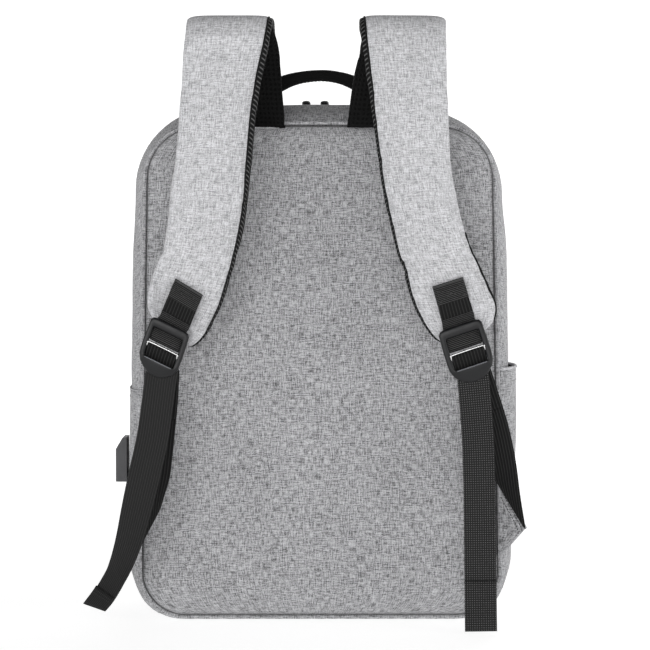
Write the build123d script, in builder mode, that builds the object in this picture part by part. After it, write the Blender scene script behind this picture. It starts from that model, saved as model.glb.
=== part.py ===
"""Solar backpack: a soft day pack as separate sewn, moulded and metal pieces.

Millimetres. +Z is up and the bag stands on z = 0. The wearer's side faces -Y and the
solar side faces +Y. +X is to the right for someone looking at the wearer's side.
"""

import os

from build123d import *

os.makedirs("parts", exist_ok=True)

# ---------------------------------------------------------------- body outline
# Depth y, half width low and high, base z, shoulder z, crown z, upper and lower radius.
SECTIONS = [
    (-62.0, 143.5, 139.0, 5.0, 399.0, 402.5, 40.0, 34.0),
    (-52.0, 152.0, 146.5, 0.0, 405.0, 411.5, 52.0, 37.0),
    (-26.0, 158.5, 152.0, 0.0, 409.5, 421.0, 60.0, 40.0),
    (4.0, 160.5, 154.0, 0.0, 409.5, 421.0, 61.0, 41.0),
    (34.0, 158.5, 152.0, 0.0, 408.5, 419.5, 60.0, 40.0),
    (52.0, 152.0, 146.5, 0.0, 404.0, 411.0, 52.0, 37.0),
    (62.0, 143.5, 139.0, 5.0, 399.0, 402.5, 40.0, 34.0),
]
REAR_Y = -62.0
FRONT_Y = 62.0
PANEL = 4.0
FACE_FABRIC = 1.4
WIDE = 400.0
SEAM_Z = 60.0
LID_GAP = 0.4
TUB_EDGE_Y = 15.0
LID_EDGE_Y = 31.8
COIL_WIDTH = 1.6
COIL_GAP = 0.4
CORNER_LOW_Z = 55.0
CORNER_HIGH_Z = 360.0

# ---------------------------------------------------------------- side fittings
POCKET_REAR_Y = -50.0
POCKET_FRONT_Y = 12.0
POCKET_BASE_Z = 4.0
POCKET_MOUTH_Z = 204.0
POCKET_BULGE = 8.0
POCKET_WALL = 1.4
PATCH_TOP_Z = 188.0
USB_Z = (108.0, 145.0)
USB_Y = (-16.0, 6.0)
USB_OUT_X = -171.0
USB_IN_X = -161.6
USB_SHELL = (5.6, 13.2, 12.0)
USB_SHELL_WALL = 0.3
USB_TONGUE = (1.8, 11.0, 9.0)

# ---------------------------------------------------------------- webbing
WEB_WIDTH = 25.0
WEB_THICK = 1.6

# ---------------------------------------------------------------- shoulder strap
# Side view of the strap's middle layer, root first, as (y, z).
STRAP_LINE = [
    (-69.0, 398.0),
    (-73.0, 436.0),
    (-80.0, 464.0),
    (-94.0, 479.0),
    (-107.5, 465.0),
    (-111.0, 432.0),
    (-110.5, 380.0),
    (-107.0, 320.0),
    (-102.5, 270.0),
    (-99.0, 236.0),
    (-97.0, 214.0),
]
STRAP_PEAK_Y = -94.0
STRAP_LAYERS = {"cover": (3.4, 6.0), "foam": (-3.4, 3.4), "lining": (-6.0, -3.4)}
TAB_LAYER = (6.3, 7.9)


def bag_solid(grow):
    """The bag's outside, grown outward by grow, from the rear face to the front face."""
    with BuildPart() as solid:
        for y, half_low, half_high, z_low, z_side, z_crown, r_high, r_low in SECTIONS:
            with BuildSketch(Plane.XZ.offset(-y)) as outline:
                with BuildLine():
                    low = (half_low + grow, z_low - grow)
                    high = (half_high + grow, z_side + grow)
                    Line((-low[0], low[1]), low)
                    Line(low, high)
                    ThreePointArc(high, (0, z_crown + grow), (-high[0], high[1]))
                    Line((-high[0], high[1]), (-low[0], low[1]))
                make_face()
                corners = outline.vertices().sort_by(Axis.Y)
                fillet(corners[:2], radius=r_low + grow)
                corners = outline.vertices().sort_by(Axis.Y)
                fillet(corners[-2:], radius=r_high + grow)
        loft(ruled=True)
    return solid.part


def ring(outer, inner):
    """Wall between two grown copies of the bag's outside."""
    with BuildPart() as wall:
        add(outer)
        add(inner, mode=Mode.SUBTRACT)
    return wall.part


def keep(part, x, y, z):
    """The piece of part inside the box with these x, y and z limits."""
    with BuildPart() as piece:
        add(part)
        middle = ((x[0] + x[1]) / 2, (y[0] + y[1]) / 2, (z[0] + z[1]) / 2)
        with Locations(middle):
            Box(x[1] - x[0], y[1] - y[0], z[1] - z[0], mode=Mode.INTERSECT)
    return piece.part


def block(x, y, z):
    """Plain box between x, y and z limits."""
    with BuildPart() as solid:
        with Locations(((x[0] + x[1]) / 2, (y[0] + y[1]) / 2, (z[0] + z[1]) / 2)):
            Box(x[1] - x[0], y[1] - y[0], z[1] - z[0])
    return solid.part


def save(part, name):
    """Label a finished sub-part and write its STEP file."""
    part.label = name
    export_step(part, f"parts/{name}.step")


outside = bag_solid(0.0)
inside = bag_solid(-PANEL)
wall = ring(outside, inside)
ALL_X = (-WIDE, WIDE)
ALL_Z = (-20.0, 500.0)

# ---------------------------------------------------------------- back panel
BACK_INNER_Y = REAR_Y + FACE_FABRIC + 5.4

with BuildPart() as back_panel:
    add(keep(outside, ALL_X, (REAR_Y, REAR_Y + FACE_FABRIC), ALL_Z))
save(back_panel.part, "back_panel")

with BuildPart() as back_foam:
    add(keep(outside, ALL_X, (REAR_Y + FACE_FABRIC, BACK_INNER_Y), ALL_Z))
save(back_foam.part, "back_foam")

PIPING = 1.1

with BuildPart() as back_piping:
    proud = bag_solid(PIPING)
    add(ring(proud, outside))
    with Locations((0, REAR_Y + 1.6, 200)):
        Box(WIDE, 2.4, 500, mode=Mode.INTERSECT)
save(back_piping.part, "back_piping")

# ---------------------------------------------------------------- tub walls
TUB_Y = (BACK_INNER_Y, TUB_EDGE_Y)
BOOT_Y = (TUB_EDGE_Y, FRONT_Y - PANEL)
SIDES = {"left": (-WIDE, -100.0), "right": (100.0, WIDE)}

for side, x_span in SIDES.items():
    with BuildPart() as gusset_side:
        add(keep(wall, x_span, TUB_Y, (CORNER_LOW_Z, CORNER_HIGH_Z)))
    save(gusset_side.part, f"gusset_{side}")

with BuildPart() as gusset_top:
    add(keep(wall, ALL_X, TUB_Y, (CORNER_HIGH_Z, 500.0)))
save(gusset_top.part, "gusset_top")

with BuildPart() as base_panel:
    add(keep(wall, ALL_X, (BACK_INNER_Y, FRONT_Y - PANEL), (-20.0, CORNER_LOW_Z)))
    add(keep(wall, ALL_X, BOOT_Y, (CORNER_LOW_Z, SEAM_Z)))
save(base_panel.part, "base_panel")

with BuildPart() as boot_front:
    add(keep(outside, ALL_X, (FRONT_Y - PANEL, FRONT_Y), (-20.0, SEAM_Z)))
save(boot_front.part, "boot_front")

# ---------------------------------------------------------------- lid
LID_Y = (LID_EDGE_Y, FRONT_Y - PANEL)
LID_LOW_Z = SEAM_Z + LID_GAP

for side, x_span in SIDES.items():
    with BuildPart() as lid_gusset_side:
        add(keep(wall, x_span, LID_Y, (LID_LOW_Z, CORNER_HIGH_Z)))
    save(lid_gusset_side.part, f"lid_gusset_{side}")

with BuildPart() as lid_gusset_top:
    add(keep(wall, ALL_X, LID_Y, (CORNER_HIGH_Z, 500.0)))
save(lid_gusset_top.part, "lid_gusset_top")

with BuildPart() as lid_front_panel:
    add(keep(outside, ALL_X, (FRONT_Y - PANEL, FRONT_Y), (LID_LOW_Z, 500.0)))
save(lid_front_panel.part, "lid_front_panel")

# ---------------------------------------------------------------- main zip
TAPE_DEPTH = (-2.2, -1.0)
COIL_DEPTH = (-2.8, -0.4)
ZIP_LOW_Z = LID_LOW_Z + 0.6
TUB_COIL_Y = (23.2 - COIL_WIDTH, 23.2)
LID_COIL_Y = (23.2 + COIL_GAP, 23.2 + COIL_GAP + COIL_WIDTH)
tape_ring = ring(bag_solid(TAPE_DEPTH[1]), bag_solid(TAPE_DEPTH[0]))
coil_ring = ring(bag_solid(COIL_DEPTH[1]), bag_solid(COIL_DEPTH[0]))

with BuildPart() as zip_tape_body:
    add(keep(tape_ring, ALL_X, (TUB_EDGE_Y, TUB_COIL_Y[0]), (ZIP_LOW_Z, 500.0)))
save(zip_tape_body.part, "zip_tape_body")

with BuildPart() as zip_coil_body:
    add(keep(coil_ring, ALL_X, TUB_COIL_Y, (ZIP_LOW_Z, 500.0)))
save(zip_coil_body.part, "zip_coil_body")

with BuildPart() as zip_coil_lid:
    add(keep(coil_ring, ALL_X, LID_COIL_Y, (ZIP_LOW_Z, 500.0)))
save(zip_coil_lid.part, "zip_coil_lid")

with BuildPart() as zip_tape_lid:
    add(keep(tape_ring, ALL_X, (LID_COIL_Y[1], LID_EDGE_Y), (ZIP_LOW_Z, 500.0)))
save(zip_tape_lid.part, "zip_tape_lid")

# Two sliders meet at the top, a little left of the middle.
SLIDER_X = {"left": -11.5, "right": 4.0}
SLIDER_SIZE = (11.0, 8.0, 1.4)
SLIDER_MID_Y = 22.6
SLIDER_LOW_Z = 421.7
BRIDGE_SIZE = (4.0, 5.0, 3.0)
EYE_SLOT = (2.4, 2.0)
PULL_SIZE = (6.4, 24.0, 1.2)
PULL_BAR_RADIUS = 0.5
PULL_REACH = 3.2
SLIDER_TOP_Z = SLIDER_LOW_Z + SLIDER_SIZE[2]
EYE_Y = SLIDER_MID_Y - 1.0
EYE_Z = SLIDER_TOP_Z + EYE_SLOT[1] / 2

for side, x_mid in SLIDER_X.items():
    with BuildPart() as main_slider:
        with Locations((x_mid, SLIDER_MID_Y, SLIDER_LOW_Z + SLIDER_SIZE[2] / 2)):
            Box(*SLIDER_SIZE)
        with Locations((x_mid, SLIDER_MID_Y, SLIDER_TOP_Z + BRIDGE_SIZE[2] / 2)):
            Box(*BRIDGE_SIZE)
        with Locations((x_mid, EYE_Y, EYE_Z)):
            Box(BRIDGE_SIZE[0], *EYE_SLOT, mode=Mode.SUBTRACT)
        with Locations((x_mid, TUB_COIL_Y[0] + 0.5, SLIDER_LOW_Z - 0.4)):
            Box(3.0, 1.0, 0.8)
    save(main_slider.part, f"main_slider_{side}")

    with BuildPart() as main_pull:
        with Locations((x_mid, EYE_Y, EYE_Z)):
            Cylinder(PULL_BAR_RADIUS, PULL_SIZE[0], rotation=(0, 90, 0))
        for arm in (-1, 1):
            with Locations((x_mid + arm * (PULL_SIZE[0] / 2 - 0.3), EYE_Y - PULL_REACH / 2, EYE_Z)):
                Box(0.6, PULL_REACH + 1.0, PULL_SIZE[2])
        with Locations((x_mid, EYE_Y - PULL_REACH - PULL_SIZE[1] / 2, EYE_Z)):
            Box(*PULL_SIZE)
        fillet(main_pull.edges().filter_by(Axis.Z).sort_by(Axis.Y)[:2], radius=2.4)
    save(main_pull.part, f"main_pull_{side}")

# ---------------------------------------------------------------- laptop sleeve
SLEEVE_HALF = 126.0
SLEEVE_Z = (14.0, 300.0)
SLEEVE_GAP = 22.0
SLEEVE_Y = (BACK_INNER_Y, BACK_INNER_Y + SLEEVE_GAP)

with BuildPart() as laptop_sleeve:
    sleeve_x = (-SLEEVE_HALF, SLEEVE_HALF)
    add(block(sleeve_x, SLEEVE_Y, SLEEVE_Z))
    inner_x = (-SLEEVE_HALF + 2.0, SLEEVE_HALF - 2.0)
    hollow = block(inner_x, (SLEEVE_Y[0], SLEEVE_Y[1] - 3.0), (SLEEVE_Z[0] + 3.0, 400.0))
    add(hollow, mode=Mode.SUBTRACT)
save(laptop_sleeve.part, "laptop_sleeve")

# ---------------------------------------------------------------- side pockets
pocket_rim = bag_solid(POCKET_BULGE)
pocket_room = bag_solid(POCKET_BULGE - POCKET_WALL)
patch_rim = bag_solid(POCKET_WALL)
POCKET_Y = (POCKET_REAR_Y, POCKET_FRONT_Y)
POCKET_Z = (POCKET_BASE_Z, POCKET_MOUTH_Z)
ROOM_Y = (POCKET_REAR_Y + POCKET_WALL, POCKET_FRONT_Y - POCKET_WALL)
ROOM_Z = (POCKET_BASE_Z + POCKET_WALL, 300.0)

with BuildPart() as side_pocket_right:
    add(keep(pocket_rim, (120.0, WIDE), POCKET_Y, POCKET_Z))
    add(keep(pocket_room, (100.0, WIDE), ROOM_Y, ROOM_Z), mode=Mode.SUBTRACT)
    add(outside, mode=Mode.SUBTRACT)
save(side_pocket_right.part, "side_pocket_right")

with BuildPart() as side_pocket_left:
    add(keep(patch_rim, (-WIDE, -120.0), POCKET_Y, (POCKET_BASE_Z, PATCH_TOP_Z)))
    add(outside, mode=Mode.SUBTRACT)
save(side_pocket_left.part, "side_pocket_left")

# ---------------------------------------------------------------- USB outlet
usb_mid_y = (USB_Y[0] + USB_Y[1]) / 2
usb_mid_x = (USB_OUT_X + USB_IN_X) / 2 - 0.4
SHELL_SPAN_X = (usb_mid_x - USB_SHELL[0] / 2, usb_mid_x + USB_SHELL[0] / 2)
SHELL_SPAN_Y = (usb_mid_y - USB_SHELL[1] / 2, usb_mid_y + USB_SHELL[1] / 2)
SHELL_SPAN_Z = (USB_Z[0], USB_Z[0] + USB_SHELL[2])

with BuildPart() as usb_housing:
    with BuildSketch(Plane.XZ.offset(-USB_Y[1])):
        with BuildLine():
            Polyline(
                (USB_IN_X, USB_Z[0]),
                (USB_OUT_X, USB_Z[0]),
                (USB_OUT_X, USB_Z[1] - 10.0),
                (USB_OUT_X + 6.0, USB_Z[1]),
                (USB_IN_X, USB_Z[1]),
                close=True,
            )
        make_face()
    extrude(amount=USB_Y[1] - USB_Y[0])
    outer_edges = usb_housing.edges().filter_by(Axis.Z).sort_by(Axis.X)[:2]
    fillet(outer_edges, radius=2.5)
    add(block(SHELL_SPAN_X, SHELL_SPAN_Y, SHELL_SPAN_Z), mode=Mode.SUBTRACT)
save(usb_housing.part, "usb_housing")

with BuildPart() as usb_socket_shell:
    add(block(SHELL_SPAN_X, SHELL_SPAN_Y, SHELL_SPAN_Z))
    t = USB_SHELL_WALL
    room_x = (SHELL_SPAN_X[0] + t, SHELL_SPAN_X[1] - t)
    room_y = (SHELL_SPAN_Y[0] + t, SHELL_SPAN_Y[1] - t)
    add(block(room_x, room_y, (0.0, SHELL_SPAN_Z[1] - t)), mode=Mode.SUBTRACT)
save(usb_socket_shell.part, "usb_socket_shell")

with BuildPart() as usb_tongue:
    tongue_x = (room_x[1] - 0.4 - USB_TONGUE[0], room_x[1] - 0.4)
    tongue_y = (usb_mid_y - USB_TONGUE[1] / 2, usb_mid_y + USB_TONGUE[1] / 2)
    tongue_top = SHELL_SPAN_Z[1] - t
    add(block(tongue_x, tongue_y, (tongue_top - USB_TONGUE[2], tongue_top)))
save(usb_tongue.part, "usb_tongue")

with BuildPart() as usb_inner_gland:
    with BuildSketch(Plane.YZ.offset(-153.0)):
        with Locations((usb_mid_y, 126.0)):
            RectangleRounded(18.0, 24.0, 4.0)
            Circle(2.6, mode=Mode.SUBTRACT)
    extrude(amount=4.0)
save(usb_inner_gland.part, "usb_inner_gland")

# ---------------------------------------------------------------- shoulder straps
# Outer and inner edge of each strap in front view, as (x, z), top first.
FALL_EDGES = {
    "left": (
        [(-105.0, 500.0), (-105.5, 465.0), (-108.5, 420.0), (-114.0, 370.0), (-120.0, 318.0), (-127.0, 286.0)],
        [(-37.5, 500.0), (-40.0, 465.0), (-47.0, 420.0), (-52.5, 370.0), (-59.0, 318.0), (-67.5, 286.0)],
        [(-131.0, 262.0), (-125.0, 249.0), (-108.0, 232.0), (-96.0, 229.0), (-87.0, 240.0)],
    ),
    "right": (
        [(98.0, 500.0), (98.5, 465.0), (101.0, 420.0), (105.0, 370.0), (114.0, 318.0), (125.0, 290.0)],
        [(35.0, 500.0), (35.5, 465.0), (37.5, 420.0), (43.5, 370.0), (53.5, 318.0), (62.0, 286.0)],
        [(138.0, 258.0), (135.0, 243.0), (116.0, 231.0), (97.0, 227.0), (86.0, 236.0)],
    ),
}
RISE_EDGES = {
    "left": ([(-105.0, 500.0), (-90.0, 398.0)], [(-37.5, 500.0), (-27.5, 398.0)]),
    "right": ([(98.0, 500.0), (84.0, 398.0)], [(35.0, 500.0), (21.5, 398.0)]),
}
# Middle of the tab's top edge in front view and its lean from upright, in degrees.
TABS = {"left": ((-102.0, 272.0), -25.5), "right": ((100.0, 276.0), 17.0)}
TAB_LENGTH = 40.0


def strap_offset(distance):
    """Points at this distance outside the strap's middle layer in side view."""
    points = []
    last = len(STRAP_LINE) - 1
    for i, (y, z) in enumerate(STRAP_LINE):
        before = STRAP_LINE[max(i - 1, 0)]
        after = STRAP_LINE[min(i + 1, last)]
        dy = after[0] - before[0]
        dz = after[1] - before[1]
        length = (dy * dy + dz * dz) ** 0.5
        points.append((y - distance * dz / length, z + distance * dy / length))
    return points


def strap_band(layer):
    """One layer of the strap as a wide band, seen from the side and drawn along X."""
    near = strap_offset(-layer[0])
    far = strap_offset(-layer[1])
    with BuildPart() as band:
        with BuildSketch(Plane.YZ):
            with BuildLine():
                Spline(*near)
                Line(near[-1], far[-1])
                Spline(*far)
                Line(far[0], near[0])
            make_face()
        extrude(amount=160.0, both=True)
    return band.part


def strap_layer(band, side):
    """The band trimmed to one strap: the rising rear run and the falling front run."""
    outer, inner, end = FALL_EDGES[side]
    with BuildPart() as fall:
        with BuildSketch(Plane.XZ.offset(-STRAP_PEAK_Y)):
            with BuildLine():
                Spline(*outer, *end, *reversed(inner))
                Line(inner[0], outer[0])
            make_face()
        extrude(amount=60.0)
        add(band, mode=Mode.INTERSECT)
    outer, inner = RISE_EDGES[side]
    with BuildPart() as rise:
        with BuildSketch(Plane.XZ.offset(-STRAP_PEAK_Y)):
            Polygon(outer[0], outer[1], inner[1], inner[0], align=None)
        extrude(amount=-60.0)
        add(band, mode=Mode.INTERSECT)
    with BuildPart() as layer:
        add(fall.part)
        add(rise.part)
    return layer.part


for layer_name, layer_span in STRAP_LAYERS.items():
    layer_band = strap_band(layer_span)
    for side in SIDES:
        with BuildPart() as strap_piece:
            add(strap_layer(layer_band, side))
        save(strap_piece.part, f"strap_{layer_name}_{side}")

# ---------------------------------------------------------------- tabs, locks and tails
# Middle of each lock's top edge in front view and its lean from upright, in degrees.
LOCKS = {"left": ((-114.7, 241.5), -19.0), "right": ((108.9, 241.6), 12.5)}
LOCK_BACK_Y = -109.5
LOCK_THICK = 5.0
LOCK_METAL_BAR = (3.2, 1.3)
LOCK_TOP_V = 19.2
LOCK_OUTLINE = [(-16.2, LOCK_TOP_V), (16.2, LOCK_TOP_V), (16.8, -2.0), (12.0, -17.5), (8.0, -20.5)]
WINDOW_HALF = 13.0
WINDOW_V = (-8.0, 14.4)
WEB_TURN_RADIUS = (1.5, 3.1)
WINDOW_RUN_V = (4.5, 13.6)
LIP_RECESS_V = (-24.0, -8.0)
LIP_RECESS = 2.2
RUN_Y = (-111.3, -109.7)
RUN_LOW_Z = 197.9
TAIL_Y = RUN_Y
TAIL_TOP_Z = 197.4
# Middle line of each hanging tail in front view, as (x, z), and its half width.
TAIL_LINES = {
    "left": (
        [(-125.4, 198.4), (-127.4, 181.0), (-131.0, 155.0), (-137.0, 128.0), (-144.0, 98.0)]
        + [(-150.5, 72.0), (-158.5, 50.0), (-167.5, 31.0), (-174.5, 21.0)]
    ),
    "right": [(120.0, 198.4), (122.5, 172.0), (124.2, 140.0), (125.4, 80.0), (126.4, 2.2)],
}
TAIL_HALF = 12.5


def leaning_plane(place, drop, y):
    """Plane facing the wearer, at this drop below a leaning part's top edge and in line with it."""
    (x_top, z_top), lean = place
    tilt = Vector(1, 0, 0).rotate(Axis.Y, -lean)
    down = Vector(0, 0, -1).rotate(Axis.Y, -lean)
    origin = Vector(x_top, y, z_top) + down * drop
    return Plane(origin=origin, x_dir=tilt, z_dir=(0, -1, 0))


def ribbon(points, half, y_span):
    """Flat webbing facing the viewer along a line of (x, z) points."""
    left = []
    right = []
    last = len(points) - 1
    for i, (x, z) in enumerate(points):
        before = points[max(i - 1, 0)]
        after = points[min(i + 1, last)]
        dx = after[0] - before[0]
        dz = after[1] - before[1]
        length = (dx * dx + dz * dz) ** 0.5
        left.append((x + half * dz / length, z - half * dx / length))
        right.append((x - half * dz / length, z + half * dx / length))
    with BuildPart() as strip:
        with BuildSketch(Plane.XZ.offset(-y_span[1])):
            with BuildLine():
                Spline(*left)
                Line(left[-1], right[-1])
                Spline(*right)
                Line(right[0], left[0])
            make_face()
        extrude(amount=y_span[1] - y_span[0])
    return strip.part


tab_band = strap_band(TAB_LAYER)

for side in SIDES:
    with BuildPart() as web_tab:
        with BuildSketch(leaning_plane(TABS[side], TAB_LENGTH / 2, -90.0)):
            Rectangle(WEB_WIDTH, TAB_LENGTH)
        extrude(amount=60.0)
        add(tab_band, mode=Mode.INTERSECT)
    save(web_tab.part, f"web_tab_{side}")

    front = leaning_plane(LOCKS[side], LOCK_TOP_V, LOCK_BACK_Y)
    middle = leaning_plane(LOCKS[side], LOCK_TOP_V, LOCK_BACK_Y - LOCK_THICK / 2)
    across = Plane(origin=middle.origin, x_dir=middle.y_dir, z_dir=middle.x_dir)
    with BuildPart() as ladder_lock:
        with BuildSketch(front):
            Polygon(*LOCK_OUTLINE, *[(-u, v) for u, v in reversed(LOCK_OUTLINE[2:])], align=None)
            with Locations((0, (WINDOW_V[0] + WINDOW_V[1]) / 2)):
                Rectangle(2 * WINDOW_HALF, WINDOW_V[1] - WINDOW_V[0], mode=Mode.SUBTRACT)
        extrude(amount=LOCK_THICK)
        rim = ladder_lock.edges().filter_by(Axis.Y)
        fillet(rim.sort_by_distance(middle.origin)[-6:], radius=2.0)
        with BuildSketch(across.offset(-WINDOW_HALF - 2.0)):
            with Locations((LOCK_METAL_BAR[0], 0)):
                Circle(LOCK_METAL_BAR[1])
        extrude(amount=2 * WINDOW_HALF + 4.0, mode=Mode.SUBTRACT)
        with BuildSketch(leaning_plane(LOCKS[side], LOCK_TOP_V, LOCK_BACK_Y + 10.0)):
            with Locations((0, (LIP_RECESS_V[0] + LIP_RECESS_V[1]) / 2)):
                Rectangle(2 * WINDOW_HALF + 10.0, LIP_RECESS_V[1] - LIP_RECESS_V[0])
        extrude(amount=10.0 + LIP_RECESS, mode=Mode.SUBTRACT)
    save(ladder_lock.part, f"ladder_lock_{side}")

    with BuildPart() as lock_bar:
        with BuildSketch(across.offset(-WINDOW_HALF - 2.0)):
            with Locations((LOCK_METAL_BAR[0], 0)):
                Circle(LOCK_METAL_BAR[1])
        extrude(amount=2 * WINDOW_HALF + 4.0)
    save(lock_bar.part, f"lock_bar_{side}")

    with BuildPart() as web_turn:
        with BuildSketch(across.offset(-WEB_WIDTH / 2)):
            with Locations((LOCK_METAL_BAR[0], 0)):
                Circle(WEB_TURN_RADIUS[1])
                Circle(WEB_TURN_RADIUS[0], mode=Mode.SUBTRACT)
        extrude(amount=WEB_WIDTH)
        with BuildSketch(leaning_plane(LOCKS[side], LOCK_TOP_V, RUN_Y[1])):
            with Locations((0, (WINDOW_RUN_V[0] + WINDOW_RUN_V[1]) / 2)):
                Rectangle(WEB_WIDTH, WINDOW_RUN_V[1] - WINDOW_RUN_V[0])
        extrude(amount=WEB_THICK)
        run_top = front.from_local_coords((0, 1.6, 0))
        run_low = front.from_local_coords((0, -14.0, 0))
        tail_top = TAIL_LINES[side][0]
        run = ribbon([(run_top.X, run_top.Z), (run_low.X, run_low.Z), tail_top], TAIL_HALF, RUN_Y)
        add(keep(run, ALL_X, (-200.0, 0.0), (RUN_LOW_Z, 300.0)))
    save(web_turn.part, f"web_turn_{side}")

    with BuildPart() as web_tail:
        add(keep(ribbon(TAIL_LINES[side], TAIL_HALF, TAIL_Y), ALL_X, (-200.0, 0.0), (0.0, TAIL_TOP_Z)))
    save(web_tail.part, f"web_tail_{side}")

# ---------------------------------------------------------------- lower webbing and wings
LOWER_SIDE_VIEW = [(-104.6, 188.0), (-99.0, 160.0), (-90.0, 130.0), (-79.5, 100.0), (-72.5, 82.0)]
LOWER_FRONT_VIEW = {
    "left": [(-128.5, 192.0), (-130.5, 160.0), (-133.5, 130.0), (-139.0, 100.0), (-144.5, 80.0)],
    "right": [(130.0, 192.0), (138.0, 160.0), (143.5, 130.0), (147.5, 100.0), (149.5, 80.0)],
}
WING_ROOT_Z = (26.0, 112.0)
WING_APEX = (23.0, 78.0)
WING_THICK = 2.4
WING_TURN = 24.0
WING_SEAM = (144.6, -62.2)

with BuildPart() as lower_band:
    with BuildSketch(Plane.YZ):
        with BuildLine():
            Spline(*LOWER_SIDE_VIEW)
            Line(LOWER_SIDE_VIEW[-1], (LOWER_SIDE_VIEW[-1][0] - WEB_THICK, LOWER_SIDE_VIEW[-1][1]))
            Spline(*[(y - WEB_THICK, z) for y, z in LOWER_SIDE_VIEW])
            Line((LOWER_SIDE_VIEW[0][0] - WEB_THICK, LOWER_SIDE_VIEW[0][1]), LOWER_SIDE_VIEW[0])
        make_face()
    extrude(amount=200.0, both=True)

for side, sign in (("left", -1), ("right", 1)):
    with BuildPart() as lower_webbing:
        add(ribbon(LOWER_FRONT_VIEW[side], WEB_WIDTH / 2, (-120.0, -60.0)))
        add(lower_band.part, mode=Mode.INTERSECT)
    save(lower_webbing.part, f"lower_webbing_{side}")

    with BuildPart() as wing:
        spread = Vector(sign, 0, 0).rotate(Axis.Z, -sign * WING_TURN)
        normal = spread.cross(Vector(0, 0, 1)) * sign
        seam = Vector(sign * WING_SEAM[0], WING_SEAM[1], 0)
        with BuildSketch(Plane(origin=seam, x_dir=spread, z_dir=normal)) as wing_outline:
            up = 1 if wing_outline.workplanes[0].y_dir.Z > 0 else -1
            Polygon(
                (0, up * WING_ROOT_Z[0]),
                (0, up * WING_ROOT_Z[1]),
                (WING_APEX[0], up * (WING_APEX[1] + 4)),
                (WING_APEX[0] - 3, up * (WING_APEX[1] - 14)),
                align=None,
            )
        extrude(amount=WING_THICK)
    save(wing.part, f"wing_{side}")

# ---------------------------------------------------------------- grab handle
HANDLE_Y = -40.0
HANDLE_HALF = 57.0
HANDLE_FOOT_Z = 423.5
HANDLE_PEAK_Z = 444.5
HANDLE_SECTION = (9.0, 17.0)
PATCH_SIZE = (20.0, 26.0, 1.6)
PATCH_GAP = 15.0

with BuildPart() as handle_grip:
    with BuildLine() as arch:
        ThreePointArc(
            (-HANDLE_HALF, HANDLE_Y, HANDLE_FOOT_Z),
            (0, HANDLE_Y, HANDLE_PEAK_Z),
            (HANDLE_HALF, HANDLE_Y, HANDLE_FOOT_Z),
        )
    with BuildSketch(Plane(origin=arch.line @ 0, z_dir=arch.line % 0, x_dir=(0, 1, 0))):
        Ellipse(HANDLE_SECTION[1] / 2, HANDLE_SECTION[0] / 2)
    sweep()
save(handle_grip.part, "handle_grip")

with BuildPart() as handle_patches:
    for sign in (-1, 1):
        with Locations((sign * (HANDLE_HALF + PATCH_GAP), HANDLE_Y + 6.0, 419.6)):
            Box(*PATCH_SIZE)
    add(outside, mode=Mode.SUBTRACT)
save(handle_patches.part, "handle_patches")

# ---------------------------------------------------------------- front pocket
FRONT_POCKET_HALF = 112.0
FRONT_POCKET_Z = (82.0, 212.0)
FRONT_POCKET_DEEP = 6.6
FRONT_POCKET_WALL = 1.4
ZIP_SLOT_HALF = 102.0
ZIP_SLOT_Z = (196.0, 207.0)
POCKET_ZIP_Z = (ZIP_SLOT_Z[0] + ZIP_SLOT_Z[1]) / 2
pocket_mid_z = (FRONT_POCKET_Z[0] + FRONT_POCKET_Z[1]) / 2
pocket_tall = FRONT_POCKET_Z[1] - FRONT_POCKET_Z[0]
pocket_face_y = FRONT_Y + FRONT_POCKET_DEEP

with BuildPart() as front_pocket:
    with BuildSketch(Plane.XZ.offset(-FRONT_Y)):
        with Locations((0, pocket_mid_z)):
            RectangleRounded(2 * FRONT_POCKET_HALF, pocket_tall, 12.0)
    extrude(amount=-FRONT_POCKET_DEEP)
    with BuildSketch(Plane.XZ.offset(-FRONT_Y)):
        with Locations((0, pocket_mid_z)):
            inset = 2 * FRONT_POCKET_WALL
            RectangleRounded(2 * FRONT_POCKET_HALF - inset, pocket_tall - inset, 10.6)
    extrude(amount=-FRONT_POCKET_DEEP + FRONT_POCKET_WALL, mode=Mode.SUBTRACT)
    with Locations((0, pocket_face_y, POCKET_ZIP_Z)):
        Box(2 * ZIP_SLOT_HALF, 6.0, ZIP_SLOT_Z[1] - ZIP_SLOT_Z[0], mode=Mode.SUBTRACT)
save(front_pocket.part, "front_pocket")

with BuildPart() as pocket_zip:
    with Locations((0, pocket_face_y - 0.7, POCKET_ZIP_Z)):
        Box(2 * ZIP_SLOT_HALF, 0.8, ZIP_SLOT_Z[1] - ZIP_SLOT_Z[0])
    with Locations((0, pocket_face_y + 0.5, POCKET_ZIP_Z)):
        Box(2 * ZIP_SLOT_HALF - 4.0, 1.6, 3.0)
save(pocket_zip.part, "pocket_zip")

POCKET_SLIDER_X = 92.0
POCKET_SLIDER_Y = pocket_face_y + 1.7
POCKET_EYE_Y = POCKET_SLIDER_Y + 1.2 + EYE_SLOT[1] / 2

with BuildPart() as pocket_slider:
    with Locations((POCKET_SLIDER_X, POCKET_SLIDER_Y + 0.6, POCKET_ZIP_Z)):
        Box(9.0, 1.2, 7.0)
    with Locations((POCKET_SLIDER_X, POCKET_SLIDER_Y + 1.2 + BRIDGE_SIZE[2] / 2, POCKET_ZIP_Z)):
        Box(BRIDGE_SIZE[0], BRIDGE_SIZE[2], BRIDGE_SIZE[1])
    with Locations((POCKET_SLIDER_X, POCKET_EYE_Y, POCKET_ZIP_Z - 1.0)):
        Box(BRIDGE_SIZE[0], EYE_SLOT[1], EYE_SLOT[0], mode=Mode.SUBTRACT)
save(pocket_slider.part, "pocket_slider")

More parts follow.
